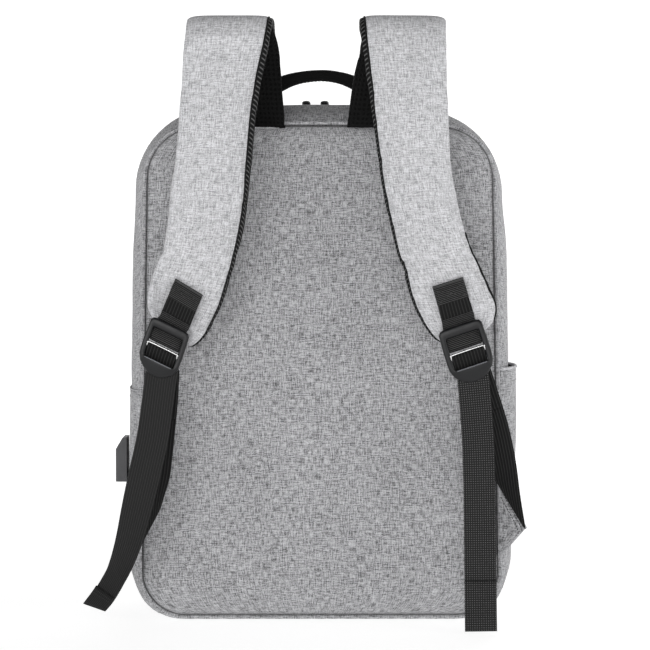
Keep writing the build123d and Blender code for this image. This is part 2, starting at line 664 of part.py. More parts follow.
with BuildPart() as pocket_pull:
    eye_z = POCKET_ZIP_Z - 1.0
    with Locations((POCKET_SLIDER_X, POCKET_EYE_Y, eye_z)):
        Cylinder(PULL_BAR_RADIUS, PULL_SIZE[0], rotation=(0, 90, 0))
    for arm in (-1, 1):
        arm_x = POCKET_SLIDER_X + arm * (PULL_SIZE[0] / 2 - 0.3)
        with Locations((arm_x, POCKET_EYE_Y, eye_z - PULL_REACH / 2)):
            Box(0.6, PULL_SIZE[2], PULL_REACH + 1.0)
    with Locations((POCKET_SLIDER_X, POCKET_EYE_Y, eye_z - PULL_REACH - PULL_SIZE[1] / 2)):
        Box(PULL_SIZE[0], PULL_SIZE[2], PULL_SIZE[1])
    fillet(pocket_pull.edges().filter_by(Axis.Y).sort_by(Axis.Z)[:2], radius=2.4)
save(pocket_pull.part, "pocket_pull")

# ---------------------------------------------------------------- solar panel
SOLAR_HALF = 90.0
SOLAR_Z = (226.0, 376.0)
SOLAR_Y = (FRONT_Y + 0.1, FRONT_Y + 1.9)
BORDER_EDGE = 7.0
BORDER_LAP = 6.0
BORDER_FRONT_Y = FRONT_Y + 3.1
CELL_COLUMNS = 2
CELL_ROWS = 4
CELL_GAP = 2.0
CELL_THICK = 0.4
solar_mid_z = (SOLAR_Z[0] + SOLAR_Z[1]) / 2
solar_tall = SOLAR_Z[1] - SOLAR_Z[0]
glass_wide = 2 * (SOLAR_HALF - BORDER_LAP) - 2.0
glass_tall = solar_tall - 2 * BORDER_LAP - 2.0

with BuildPart() as solar_laminate:
    add(block((-SOLAR_HALF, SOLAR_HALF), SOLAR_Y, SOLAR_Z))
save(solar_laminate.part, "solar_laminate")

with BuildPart() as solar_border:
    with BuildSketch(Plane.XZ.offset(-FRONT_Y)):
        with Locations((0, solar_mid_z)):
            RectangleRounded(2 * (SOLAR_HALF + BORDER_EDGE), solar_tall + 2 * BORDER_EDGE, 9.0)
    extrude(amount=-(BORDER_FRONT_Y - FRONT_Y))
    with Locations((0, FRONT_Y, solar_mid_z)):
        Box(2 * SOLAR_HALF, 2 * (SOLAR_Y[1] - FRONT_Y), solar_tall, mode=Mode.SUBTRACT)
        Box(2 * (SOLAR_HALF - BORDER_LAP), 20.0, solar_tall - 2 * BORDER_LAP, mode=Mode.SUBTRACT)
save(solar_border.part, "solar_border")

with BuildPart() as solar_cells:
    cell_wide = (glass_wide - (CELL_COLUMNS - 1) * CELL_GAP) / CELL_COLUMNS
    cell_tall = (glass_tall - (CELL_ROWS - 1) * CELL_GAP) / CELL_ROWS
    with BuildSketch(Plane.XZ.offset(-SOLAR_Y[1])):
        with Locations((0, solar_mid_z)):
            with GridLocations(cell_wide + CELL_GAP, cell_tall + CELL_GAP, CELL_COLUMNS, CELL_ROWS):
                Rectangle(cell_wide, cell_tall)
    extrude(amount=-CELL_THICK)
save(solar_cells.part, "solar_cells")

GROMMET_X = SOLAR_HALF - BORDER_LAP / 2 + BORDER_EDGE / 2
GROMMET_Z = solar_tall / 2 - BORDER_LAP / 2 + BORDER_EDGE / 2

with BuildPart() as solar_grommets:
    with BuildSketch(Plane.XZ.offset(-BORDER_FRONT_Y)):
        with Locations((0, solar_mid_z)):
            with GridLocations(2 * GROMMET_X, 2 * GROMMET_Z, 2, 2):
                Circle(4.2)
                Circle(2.2, mode=Mode.SUBTRACT)
    extrude(amount=-1.2)
save(solar_grommets.part, "solar_grommets")

with BuildPart() as junction_box:
    with Locations((0, FRONT_Y - PANEL - 4.0, solar_mid_z)):
        Box(62.0, 8.0, 36.0)
    fillet(junction_box.edges().filter_by(Axis.Y), radius=5.0)
save(junction_box.part, "junction_box")
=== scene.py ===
"""Looks of the solar backpack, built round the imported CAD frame.

Metres, +Z up, the wearer's side faces -Y and the solar side faces +Y.
"""

import math

import bpy
import numpy as np
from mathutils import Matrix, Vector, noise
from mathutils.bvhtree import BVHTree


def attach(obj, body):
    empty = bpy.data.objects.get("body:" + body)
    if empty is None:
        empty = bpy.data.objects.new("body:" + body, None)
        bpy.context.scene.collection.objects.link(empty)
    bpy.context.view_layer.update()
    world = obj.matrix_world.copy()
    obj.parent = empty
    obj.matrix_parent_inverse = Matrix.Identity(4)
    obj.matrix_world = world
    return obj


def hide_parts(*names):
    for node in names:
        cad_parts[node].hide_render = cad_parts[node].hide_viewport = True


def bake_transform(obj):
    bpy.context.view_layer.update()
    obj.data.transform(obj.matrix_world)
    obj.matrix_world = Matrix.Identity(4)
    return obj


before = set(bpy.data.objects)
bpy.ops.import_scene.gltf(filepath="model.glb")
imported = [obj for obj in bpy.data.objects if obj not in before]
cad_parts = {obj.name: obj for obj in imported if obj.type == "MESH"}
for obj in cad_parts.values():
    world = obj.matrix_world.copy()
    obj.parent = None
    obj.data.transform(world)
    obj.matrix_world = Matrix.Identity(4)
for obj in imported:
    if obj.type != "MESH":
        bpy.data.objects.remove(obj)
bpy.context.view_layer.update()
MM = 0.001

# ---- camera
CAMERA_PLACE = Vector((0.0, -1.512, 0.300))
CAMERA_AIM = Vector((0.004, -0.062, 0.241))
camera_data = bpy.data.cameras.new("camera")
camera_data.lens = 99.5
camera = bpy.data.objects.new("camera", camera_data)
camera.location = CAMERA_PLACE
camera.rotation_euler = (CAMERA_AIM - CAMERA_PLACE).to_track_quat("-Z", "Y").to_euler()
bpy.context.scene.collection.objects.link(camera)
bpy.context.scene.camera = camera
bpy.context.scene.view_settings.view_transform = "Standard"


# ---- node helpers
class Graph:
    """Short words for building one node tree."""

    def __init__(self, tree):
        self.tree = tree
        tree.nodes.clear()

    def add(self, kind, out=0, **values):
        """A node of this kind; inputs are set or linked by name. Returns the wanted output."""
        node = self.tree.nodes.new(kind)
        for key, value in values.items():
            if hasattr(node, key) and key not in node.inputs:
                setattr(node, key, value)
                continue
            name = key.replace("_", " ") if key.replace("_", " ") in node.inputs else key
            self.put(node.inputs[int(name[1:]) if name[0] == "i" and name[1:].isdigit() else name], value)
        return node.outputs[out]

    def put(self, socket, value):
        if isinstance(value, bpy.types.NodeSocket):
            self.tree.links.new(value, socket)
        else:
            socket.default_value = value

    def math(self, op, a, b=0.0):
        return self.add("ShaderNodeMath", operation=op, i0=a, i1=b)

    def mix(self, factor, a, b):
        node = self.tree.nodes.new("ShaderNodeMix")
        node.data_type = "RGBA"
        self.put(node.inputs[0], factor)
        self.put(node.inputs[6], a)
        self.put(node.inputs[7], b)
        return node.outputs[2]

    def total(self, *parts):
        """Sum of (value, weight) pairs."""
        parts = [self.math("MULTIPLY", value, weight) for value, weight in parts]
        whole = parts[0]
        for part in parts[1:]:
            whole = self.math("ADD", whole, part)
        return whole

    def scaled(self, vector, x, y, z=1.0):
        return self.add("ShaderNodeMapping", Vector=vector, Scale=(x, y, z))

    def noise(self, vector, scale=1.0, detail=2.0):
        return self.add("ShaderNodeTexNoise", Vector=vector, Scale=scale, Detail=detail)

    def ramp(self, value, stops):
        node = self.tree.nodes.new("ShaderNodeValToRGB")
        self.tree.links.new(value, node.inputs[0])
        for i, (place, colour) in enumerate(stops):
            stop = node.color_ramp.elements[i] if i < 2 else node.color_ramp.elements.new(place)
            stop.position = place
            stop.color = colour
        return node.outputs[0]


def grey(value, tint=(1.0, 1.0, 1.0)):
    return (value * tint[0], value * tint[1], value * tint[2], 1.0)


def new_material(name):
    material = bpy.data.materials.new(name)
    material.use_nodes = True
    return material, Graph(material.node_tree)


def close_material(g, colour, rough, height=None, strength=0.3, distance=0.0004, **sockets):
    """Principled surface with colour, roughness, bump and constant extras."""
    extras = {"Base Color": colour, "Roughness": rough}
    extras.update(sockets)
    shader = g.tree.nodes.new("ShaderNodeBsdfPrincipled")
    for key, value in extras.items():
        g.put(shader.inputs[key], value)
    if height is not None:
        bump = g.add("ShaderNodeBump", Strength=strength, Distance=distance, Height=height)
        g.put(shader.inputs["Normal"], bump)
    end = g.tree.nodes.new("ShaderNodeOutputMaterial")
    g.tree.links.new(shader.outputs[0], end.inputs[0])


def weave_uv(g):
    return g.add("ShaderNodeUVMap", uv_map="cloth")


def painted_groove_shade(g, colour):
    """Darkens cloth by the seam attribute: painted shade where it dips into a stitched groove."""
    dark = g.add("ShaderNodeAttribute", out=2, attribute_name="seam")
    return g.mix(dark, colour, grey(0.035))


def heather(name, base, spread, tint=(1.0, 1.0, 1.02)):
    """Grey melange plain weave: slubbed light and dark yarns crossing at half a millimetre."""
    material, g = new_material(name)
    uv = weave_uv(g)
    warp = g.noise(g.scaled(uv, 1050.0, 150.0), detail=2.0)
    weft = g.noise(g.scaled(uv, 150.0, 1050.0), detail=2.0)
    speck = g.noise(g.scaled(uv, 1150.0, 1150.0), detail=1.0)
    cloud = g.noise(g.scaled(uv, 28.0, 28.0), detail=3.0)
    yarn = g.total((warp, 0.36), (weft, 0.36), (speck, 0.28), (g.math("SUBTRACT", cloud, 0.5), 0.05))
    dark, light = grey(base * (1.0 - spread), tint), grey(base * (1.0 + spread * 0.9), tint)
    colour = g.ramp(yarn, [(0.395, dark), (0.605, light), (0.50, grey(base, tint))])
    across = g.add("ShaderNodeTexWave", out=1, Vector=g.scaled(uv, 1.0, 0.0), Scale=290.0)
    along = g.add(
        "ShaderNodeTexWave", out=1, Vector=g.scaled(uv, 0.0, 1.0), Scale=290.0, bands_direction="Y"
    )
    height = g.math("ADD", g.math("MAXIMUM", across, along), g.math("MULTIPLY", yarn, 1.6))
    close_material(
        g, painted_groove_shade(g, colour), 0.92, height, 0.35, 0.0003,
        **{"Sheen Weight": 0.12, "Sheen Roughness": 0.5, "Specular IOR Level": 0.25},
    )
    return material


def webbing(name, dark, light, ribs=0.0, cross=0.0, slant=0.0):
    """Black polyester webbing: ribs along its length, picks across it, or the dots where both meet."""
    material, g = new_material(name)
    uv = weave_uv(g)
    fuzz = g.noise(g.scaled(uv, 900.0, 900.0), detail=2.0)
    waves = []
    if ribs:
        turned = g.add("ShaderNodeMapping", Vector=uv, Rotation=(0.0, 0.0, slant))
        waves.append(g.add("ShaderNodeTexWave", out=1, Vector=turned, Scale=ribs, Distortion=0.4))
    if cross:
        waves.append(
            g.add("ShaderNodeTexWave", out=1, Vector=uv, Scale=cross, Distortion=0.4, bands_direction="Y")
        )
    height = g.math("MULTIPLY", waves[0], waves[-1])
    tone = g.total((height, 0.8), (fuzz, 0.3))
    colour = g.ramp(tone, [(0.45, grey(dark)), (0.95, grey(light))])
    close_material(
        g, painted_groove_shade(g, colour), 0.7, height, 0.6, 0.0005,
        **{"Sheen Weight": 0.04, "Sheen Roughness": 0.4, "Specular IOR Level": 0.14},
    )
    return material


def air_mesh(name):
    """Black spacer mesh with small open cells."""
    material, g = new_material(name)
    uv = weave_uv(g)
    cells = g.add("ShaderNodeTexVoronoi", Vector=g.scaled(uv, 1.0, 0.86), Scale=300.0, Randomness=0.15)
    fuzz = g.noise(g.scaled(uv, 1500.0, 1500.0), detail=1.0)
    hole = g.ramp(cells, [(0.18, grey(0.0)), (0.42, grey(1.0))])
    colour = g.mix(hole, grey(0.001), g.ramp(fuzz, [(0.3, grey(0.002)), (0.8, grey(0.008))]))
    close_material(
        g, colour, 0.85, hole, 0.9, 0.0008,
        **{"Sheen Weight": 0.03, "Specular IOR Level": 0.12},
    )
    return material


def moulded(name, colour, rough, grain=0.12, **sockets):
    """Moulded plastic or enamel with a fine grain and slight handling wear."""
    material, g = new_material(name)
    place = g.add("ShaderNodeTexCoord", out=3)
    fine = g.noise(place, scale=2600.0, detail=2.0)
    broad = g.noise(place, scale=90.0, detail=3.0)
    worn = g.ramp(broad, [(0.35, grey(rough - 0.08)), (0.75, grey(rough + 0.1))])
    tone = g.mix(g.math("MULTIPLY", broad, 0.35), colour, tuple(c * 1.7 for c in colour[:3]) + (1.0,))
    close_material(g, tone, worn, fine, grain, 0.0002, **sockets)
    return material


def metal(name, colour, rough):
    """Drawn or stamped metal with fine lengthwise lines."""
    material, g = new_material(name)
    place = g.add("ShaderNodeTexCoord", out=3)
    lines = g.noise(g.scaled(place, 300.0, 4000.0, 4000.0), detail=2.0)
    tone = g.mix(g.math("MULTIPLY", lines, 0.4), colour, tuple(c * 0.72 for c in colour[:3]) + (1.0,))
    close_material(g, tone, rough, lines, 0.15, 0.0001, Metallic=1.0)
    return material


BODY_TINT = (1.0, 1.0, 1.03)
# The body and strap cloths are one heather fabric: the strap copy is painted lighter for the light on the
# straps, and the body copy painted darker, in part, for the shade on the back panel.
body_cloth = heather("body_cloth", 0.33, 0.72, BODY_TINT)
hem_cloth = heather("hem_cloth", 0.50, 0.5, BODY_TINT)
strap_cloth_painted_lit = heather("strap_cloth_painted_lit", 0.47, 0.45, BODY_TINT)
tab_webbing = webbing("tab_webbing", 0.006, 0.085, cross=240.0)
web_edge = moulded("web_edge", grey(0.05), 0.8)
side_web = webbing("side_web", 0.004, 0.022, ribs=125.0)
tail_webbing = webbing("tail_webbing", 0.014, 0.030, ribs=160.0)
dotted_webbing = webbing("dotted_webbing", 0.012, 0.13, ribs=175.0, cross=175.0)
side_rib = webbing("side_rib", 0.003, 0.10, ribs=110.0, slant=0.9)
black_mesh = air_mesh("black_mesh")
lining_cloth = webbing("lining_cloth", 0.006, 0.020, ribs=700.0, cross=700.0)
handle_cloth = webbing("handle_cloth", 0.002, 0.010, ribs=520.0, cross=520.0)
thread_grey = moulded("thread_grey", grey(0.42), 0.8)
thread_black = moulded("thread_black", grey(0.02), 0.7)
lock_plastic = moulded(
    "lock_plastic", grey(0.007, (1.0, 1.03, 1.14)), 0.36, 0.06, **{"Specular IOR Level": 0.3}
)
# Lighter plastic for the thin rim on each lock's lip: a painted highlight.
lip_highlight_plastic = moulded("lip_highlight_plastic", grey(0.11, (1.0, 1.03, 1.14)), 0.3)
usb_plastic = moulded("usb_plastic", grey(0.055, (1.0, 1.0, 1.06)), 0.55)
bar_metal = metal("bar_metal", grey(0.80), 0.22)
socket_metal = metal("socket_metal", grey(0.62), 0.3)
dark_metal = moulded("dark_metal", grey(0.02), 0.35, 0.05, **{"Metallic": 0.6})
coil_nylon = moulded("coil_nylon", grey(0.018), 0.45)
zip_cloth = webbing("zip_cloth", 0.010, 0.030, ribs=800.0, cross=500.0)


# ---- mesh helpers
def unit(vectors):
    """The same directions at length 1."""
    return vectors / np.linalg.norm(vectors, axis=-1, keepdims=True)


def eased(value, power):
    """A power that keeps the sign; it rounds the corners of a section."""
    return np.sign(value) * np.abs(value) ** power


def ring_angles(count):
    return np.linspace(0, 2 * math.pi, count, endpoint=False)


def travelled(line):
    """Distance from the start of a line to each of its points."""
    return np.concatenate([[0.0], np.cumsum(np.linalg.norm(np.diff(line, axis=0), axis=1))])


def sampled(line, run, want):
    """Points of a line at the wanted distances along it."""
    return np.stack([np.interp(want, run, line[:, k]) for k in range(line.shape[1])], 1)


def link(obj, material, body):
    bpy.context.scene.collection.objects.link(obj)
    obj.data.materials.append(material)
    if body is not None:
        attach(obj, body)
    return obj


def mesh_piece(name, verts, faces, material, body, uvs=None, smooth=True, seam=None):
    """A mesh object; uvs hold one (u, v) pair in metres for every face corner."""
    mesh = bpy.data.meshes.new(name)
    mesh.from_pydata([tuple(v) for v in verts], [], [tuple(f) for f in faces])
    layer = mesh.uv_layers.new(name="cloth")
    if uvs is None:
        loops = np.zeros(len(mesh.loops), int)
        mesh.loops.foreach_get("vertex_index", loops)
        uvs = np.array(verts)[loops][:, [0, 2]]
    layer.data.foreach_set("uv", np.asarray(uvs, np.float32).ravel())
    # The seam attribute sets how much painted groove shade the cloth materials mix in.
    mesh.attributes.new("seam", "FLOAT", "POINT")
    if seam is not None:
        mesh.attributes["seam"].data.foreach_set("value", np.asarray(seam, np.float32).ravel())
    mesh.polygons.foreach_set("use_smooth", [smooth] * len(mesh.polygons))
    mesh.update()
    return link(bpy.data.objects.new(name, mesh), material, body)


def grid_faces(rows, cols, wrap=False, keep=None):
    """Quads of a grid and the (row, column) of every face corner, with the column not wrapped."""
    faces = []
    corners = []
    for i in range(rows - 1):
        for j in range(cols if wrap else cols - 1):
            if keep is not None and not keep(i, j):
                continue
            ring = [(i, j), (i, j + 1), (i + 1, j + 1), (i + 1, j)]
            faces.append([a * cols + b % cols for a, b in ring])
            corners.extend(ring)
    return faces, corners


def grid_piece(
    name, points, material, body, wrap=False, keep=None, caps=False, seam=None, away=None,
    toward=None
):
    """A cloth grid in metres; UVs follow the distance along its rows and columns.

    Its faces look away from a point, or toward a direction, or out of the tube that it makes.
    """
    rows, cols = points.shape[:2]
    faces, corners = grid_faces(rows, cols, wrap, keep)
    looped = np.concatenate([points, points[:, :1]], 1) if wrap else points
    step_u = np.linalg.norm(np.diff(looped, axis=1), axis=2).mean(0)
    step_v = np.linalg.norm(np.diff(points, axis=0), axis=2).mean(1)
    u = np.concatenate([[0.0], np.cumsum(step_u)])
    v = np.concatenate([[0.0], np.cumsum(step_v)])
    uvs = [(u[b], v[a]) for a, b in corners]
    flat = points.reshape(-1, 3)
    quads = flat[np.array(faces)]
    normals = np.cross(quads[:, 2] - quads[:, 0], quads[:, 3] - quads[:, 1])
    if toward is not None:
        outward = np.array(toward, float)
    elif away is not None:
        outward = quads.mean(1) - np.array(away, float)
    else:
        outward = quads.mean(1) - points.mean(1)[np.array(corners)[::4, 0]]
    inside_out = (normals * outward).sum() < 0
    if caps:
        for row in (0, rows - 1):
            face = [row * cols + b for b in range(cols)]
            face = face if row else face[::-1]
            faces.append(face)
            uvs.extend([(u[b % cols], v[row]) for b in face])
    if inside_out:
        start = 0
        for k, face in enumerate(faces):
            uvs[start : start + len(face)] = uvs[start : start + len(face)][::-1]
            faces[k] = face[::-1]
            start += len(face)
    return mesh_piece(name, flat, faces, material, body, uvs, True, seam)


def thicken(obj, thickness, inner=None):
    """Gives a cloth sheet its thickness in mm behind its face, with an inner cloth if one is named."""
    solid = obj.modifiers.new("thickness", "SOLIDIFY")
    solid.thickness = thickness * MM
    solid.offset = -1.0
    if inner is not None:
        obj.data.materials.append(inner)
        solid.material_offset = 1
    return obj


def smooth_line(points, count, closed=False):
    """Points on a Catmull-Rom curve through the given points, evenly spaced in length."""
    p = np.array(points, float)
    n = len(p)
    dense = []
    for i in range(n if closed else n - 1):
        a = p[(i - 1) % n] if closed or i > 0 else 2 * p[0] - p[1]
        b = p[i]
        c = p[(i + 1) % n]
        d = p[(i + 2) % n] if closed or i + 2 < n else 2 * p[-1] - p[-2]
        for t in np.linspace(0, 1, 24, endpoint=False):
            bend = (2 * a - 5 * b + 4 * c - d) * t**2
            twist = (3 * b - a - 3 * c + d) * t**3
            dense.append(0.5 * (2 * b + (c - a) * t + bend + twist))
    dense.append(p[0] if closed else p[-1])
    dense = np.array(dense)
    run = travelled(dense)
    return sampled(dense, run, np.linspace(0, run[-1], count))


def curve_through(xs, ys, x):
    """Smooth value at x of a table, by a cubic through its neighbours."""
    x = np.asarray(x, float)
    rise = np.diff(ys) / np.diff(xs)
    both = rise[:-1] * rise[1:]
    inner = np.where(both > 0, 2 * both / np.where(both > 0, rise[:-1] + rise[1:], 1.0), 0.0)
    slopes = np.concatenate([rise[:1], inner, rise[-1:]])
    i = np.clip(np.searchsorted(xs, x) - 1, 0, len(xs) - 2)
    h = xs[i + 1] - xs[i]
    t = (x - xs[i]) / h
    return (
        (2 * t**3 - 3 * t**2 + 1) * ys[i]
        + (t**3 - 2 * t**2 + t) * h * slopes[i]
        + (3 * t**2 - 2 * t**3) * ys[i + 1]
        + (t**3 - t**2) * h * slopes[i + 1]
    )


def ripple(points, scale, amount, seed):
    """Soft uneven height for cloth, one value for each point."""
    shift = Vector((seed * 3.1, seed * 1.7, seed * 0.9))
    values = [noise.noise(Vector(p) * scale + shift) for p in points.reshape(-1, 3)]
    return np.array(values).reshape(points.shape[:-1]) * amount


def tube(name, line, radius, material, body, sides=10, closed=False):
    """A round cord or rail along a line of points, in mm."""
    p = np.array(line, float)
    ahead = np.roll(p, -1, 0) - np.roll(p, 1, 0)
    if not closed:
        ahead[0] = p[1] - p[0]
        ahead[-1] = p[-1] - p[-2]
    ahead = unit(ahead)
    side = unit(np.cross(ahead, (0.0, 1.0, 0.0)))
    over = np.cross(side, ahead)
    angle = ring_angles(sides)
    r = np.broadcast_to(np.asarray(radius, float), (len(p),))[:, None, None]
    ring = side[:, None] * np.cos(angle)[None, :, None] + over[:, None] * np.sin(angle)[None, :, None]
    points = (p[:, None] + ring * r) * MM
    if closed:
        points = np.concatenate([points, points[:1]], 0)
    return grid_piece(name, points, material, body, wrap=True, caps=not closed)


def strip(name, middle, half, thick, material, body, sides=28, square=0.4):
    """Flat webbing or padding along a line: middles and half-width vectors in mm, thick in mm."""
    middle = np.array(middle, float)
    half = np.broadcast_to(np.array(half, float), middle.shape)
    ahead = np.gradient(middle, axis=0)
    normal = np.cross(half, ahead)
    normal /= np.maximum(np.linalg.norm(normal, axis=1), 1e-9)[:, None]
    angle = ring_angles(sides)
    across = eased(np.cos(angle), square)
    through = eased(np.sin(angle), 0.5)
    depth = np.broadcast_to(np.asarray(thick, float), (len(middle),)) / 2
    points = (
        middle[:, None]
        + across[None, :, None] * half[:, None]
        + through[None, :, None] * (normal * depth[:, None])[:, None]
    )
    return grid_piece(name, points * MM, material, body, wrap=True, caps=True)


def soft_box(name, centre, size, material, body, power=0.3, rows=14, cols=28):
    """A moulded block with rounded edges, centre and size in mm."""
    polar = np.linspace(-math.pi / 2, math.pi / 2, rows + 2)[1:-1]
    turn = ring_angles(cols)
    level = eased(np.cos(polar), power)[:, None]
    x = level * eased(np.cos(turn), power)[None]
    y = level * eased(np.sin(turn), power)[None]
    z = np.broadcast_to(eased(np.sin(polar), power)[:, None], x.shape)
    points = (np.stack([x, y, z], 2) * np.array(size) / 2 + np.array(centre)) * MM
    return grid_piece(name, points, material, body, wrap=True, caps=True)


FINE_THREAD = {"pitch": 2.4, "length": 2.0, "radius": 0.25}
# A direction that no row of stitches follows; it turns the threads' sections.
ASIDE = (0.31, 0.52, 0.79)


def stitches(name, lines, material, body, slot_name, pitch=3.0, length=2.3, radius=0.28):
    """Rows of sewn thread: each line is a list of points in mm on the cloth's surface."""
    verts = []
    faces = []
    for line in lines:
        line = np.array(line, float)
        run = travelled(line)
        for k in range(int((run[-1] + pitch - length) // pitch)):
            reach = np.array([0.0, length]) + k * pitch
            ends = sampled(line, run, reach)
            along = (ends[1] - ends[0]) / max(np.linalg.norm(ends[1] - ends[0]), 1e-6)
            side = unit(np.cross(along, ASIDE))
            over = np.cross(along, side)
            base = len(verts)
            verts.append(ends[0])
            for share in (0.18, 0.82):
                place = ends[0] + (ends[1] - ends[0]) * share
                for a in range(5):
                    turn = 2 * math.pi * a / 5
                    verts.append(place + (side * math.cos(turn) + over * math.sin(turn)) * radius)
            verts.append(ends[1])
            for a in range(5):
                b = (a + 1) % 5
                faces.append((base, base + 1 + b, base + 1 + a))
                faces.append((base + 1 + a, base + 1 + b, base + 6 + b, base + 6 + a))
                faces.append((base + 11, base + 6 + a, base + 6 + b))
    return mesh_piece(name, np.array(verts) * MM, faces, material, body)


def helix(line, radius, pitch, per_turn=7):
    """Points of a coil wound round a line, in mm."""
    line = np.array(line, float)
    run = travelled(line)
    want = np.linspace(0, run[-1], int(run[-1] / pitch * per_turn))
    centre = sampled(line, run, want)
    ahead = unit(np.gradient(centre, axis=0))
    side = np.cross(ahead, (0.0, 1.0, 0.0))
    side[np.linalg.norm(side, axis=1) < 0.1] = (0.0, 0.0, 1.0)
    side = unit(side)
    over = np.cross(side, ahead)
    turn = 2 * math.pi * want / pitch
    return centre + radius * (side * np.cos(turn)[:, None] + over * np.sin(turn)[:, None])


STRAP_CLOTH = {
    "quality": 6, "mass": 0.25, "tension_stiffness": 22.0, "compression_stiffness": 14.0,
    "shear_stiffness": 6.0, "bending_stiffness": 0.4,
}
SIM_FRAMES = 20


def inflated(points, pressure, cap):
    """Cloth simulation of a closed grid under air pressure; no point moves more than cap, in metres."""
    rows, cols = points.shape[:2]
    faces = grid_faces(rows, cols, True)[0]
    faces += [list(range(cols))[::-1], [(rows - 1) * cols + b for b in range(cols)]]
    mesh = bpy.data.meshes.new("sim")
    mesh.from_pydata([tuple(p) for p in points.reshape(-1, 3)], [], faces)
    obj = bpy.data.objects.new("sim", mesh)
    bpy.context.scene.collection.objects.link(obj)
    scene = bpy.context.scene
    cloth = obj.modifiers.new("cloth", "CLOTH")
    for key, value in STRAP_CLOTH.items():
        setattr(cloth.settings, key, value)
    cloth.settings.use_pressure = True
    cloth.settings.uniform_pressure_force = pressure
    cloth.settings.effector_weights.gravity = 0.0
    cloth.point_cache.frame_start = 1
    cloth.point_cache.frame_end = SIM_FRAMES
    for frame_number in range(1, SIM_FRAMES + 1):
        scene.frame_set(frame_number)
    shape = obj.evaluated_get(bpy.context.evaluated_depsgraph_get()).to_mesh()
    moved = np.zeros(len(shape.vertices) * 3)
    shape.vertices.foreach_get("co", moved)
    moved = moved.reshape(points.shape)
    bpy.data.objects.remove(obj)
    scene.frame_set(1)
    step = moved - points
    far = np.linalg.norm(step, axis=2, keepdims=True)
    return points + step * np.minimum(1.0, cap / np.maximum(far, 1e-9))


# ---- bag outline
# Depth y, half width low and high, base z, shoulder z, crown z, upper and lower radius.
SECTIONS = np.array(
    [
        (-62.0, 146.0, 139.5, 4.0, 399.0, 402.5, 42.0, 37.0),
        (-52.0, 153.0, 146.5, 0.0, 405.0, 411.5, 60.0, 40.0),
        (-26.0, 159.0, 152.5, 0.0, 409.3, 420.6, 67.0, 46.0),
        (4.0, 161.0, 154.5, 0.0, 409.3, 420.6, 68.0, 48.0),
        (34.0, 158.5, 152.0, 0.0, 408.5, 419.5, 67.0, 46.0),
        (52.0, 152.0, 146.5, 0.0, 404.0, 411.0, 60.0, 39.0),
        (62.0, 143.5, 139.0, 5.0, 399.0, 402.5, 42.0, 35.0),
    ]
)
SEAM_Z = 60.0
N_BASE, N_ARC, N_LOW, N_SIDE, N_CROWN = 22, 14, 5, 56, 60
# How far the cloth draws in, right and left, at the shoulders and the lower corners, and the right crown.
SHOULDER_IN, CORNER_IN, CROWN_IN = (3.4, 1.4), (2.6, 2.2), 3.2


def smooth_step(t):
    t = np.clip(t, 0, 1)
    return t * t * (3 - 2 * t)


def corner_arc(corner, before, after, radius, count):
    """Points of a round corner between two directions."""
    before, after = unit(before), unit(after)
    turn = math.acos(np.clip(before @ after, -1, 1))
    reach = radius * math.tan(turn / 2)
    start = corner - before * reach
    inward = np.array([-before[1], before[0]])
    centre = start + inward * radius
    angle = np.linspace(0, turn, count)
    spoke = start - centre
    x = centre[0] + spoke[0] * np.cos(angle) - spoke[1] * np.sin(angle)
    y = centre[1] + spoke[0] * np.sin(angle) + spoke[1] * np.cos(angle)
    return np.stack([x, y], 1)


def outline(y, grow=0.0):
    """The bag's upright outline at depth y in mm: base middle, right side, crown, left side, base."""
    _, low, high, base, side, crown, r_high, r_low = [
        curve_through(SECTIONS[:, 0], SECTIONS[:, k], y) for k in range(8)
    ]
    base = max(base, 0.0) - grow
    low, high, side, crown = low + grow, high + grow, side + grow, crown + grow
    bottom = np.array([low, base])
    top = np.array([high, side])
    rise = top - bottom
    lower = corner_arc(bottom, np.array([1.0, 0.0]), rise, r_low + grow, N_ARC)
    upper = corner_arc(top, rise, np.array([-1.0, 2 * (crown - side) / high]), r_high + grow, N_ARC)
    split = (SEAM_Z - lower[-1][1]) / (upper[0][1] - lower[-1][1])
    seam = lower[-1] + (upper[0] - lower[-1]) * split
    x = np.linspace(upper[-1][0], 0, N_CROWN // 2 + 1)
    bow = upper[-1][1] + (crown - upper[-1][1]) * (1 - (x / upper[-1][0]) ** 2)
    half = np.concatenate(
        [
            np.linspace([0, base], lower[0], N_BASE, endpoint=False),
            lower[:-1],
            np.linspace(lower[-1], seam, N_LOW, endpoint=False),
            np.linspace(seam, upper[0], N_SIDE, endpoint=False),
            upper[:-1],
            np.stack([x, bow], 1),
        ]
    )
    left = half[::-1][1:-1] * np.array([-1, 1])
    loop = np.concatenate([half, left])
    x, z = loop[:, 0].copy(), loop[:, 1].copy()
    slack = np.clip((SECTIONS[-1, 0] - abs(y)) / 22.0, 0, 1)
    shoulder = smooth_step((z - 295.0) / 50.0) * np.where(x > 0, *SHOULDER_IN)
    corner = np.exp(-(((z - 25.0) / 14.0) ** 2)) * np.where(x > 0, *CORNER_IN)
    loop[:, 0] -= slack * (shoulder + corner) * np.clip(x / 140.0, -1, 1)
    loop[:, 1] -= slack * CROWN_IN * smooth_step((x - 86.0) / 28.0) * smooth_step((z - 320.0) / 40.0)
    return loop


RIGHT_SEAM = N_BASE + N_ARC - 1 + N_LOW
COLUMNS = len(outline(0.0))
LEFT_SEAM = COLUMNS - RIGHT_SEAM


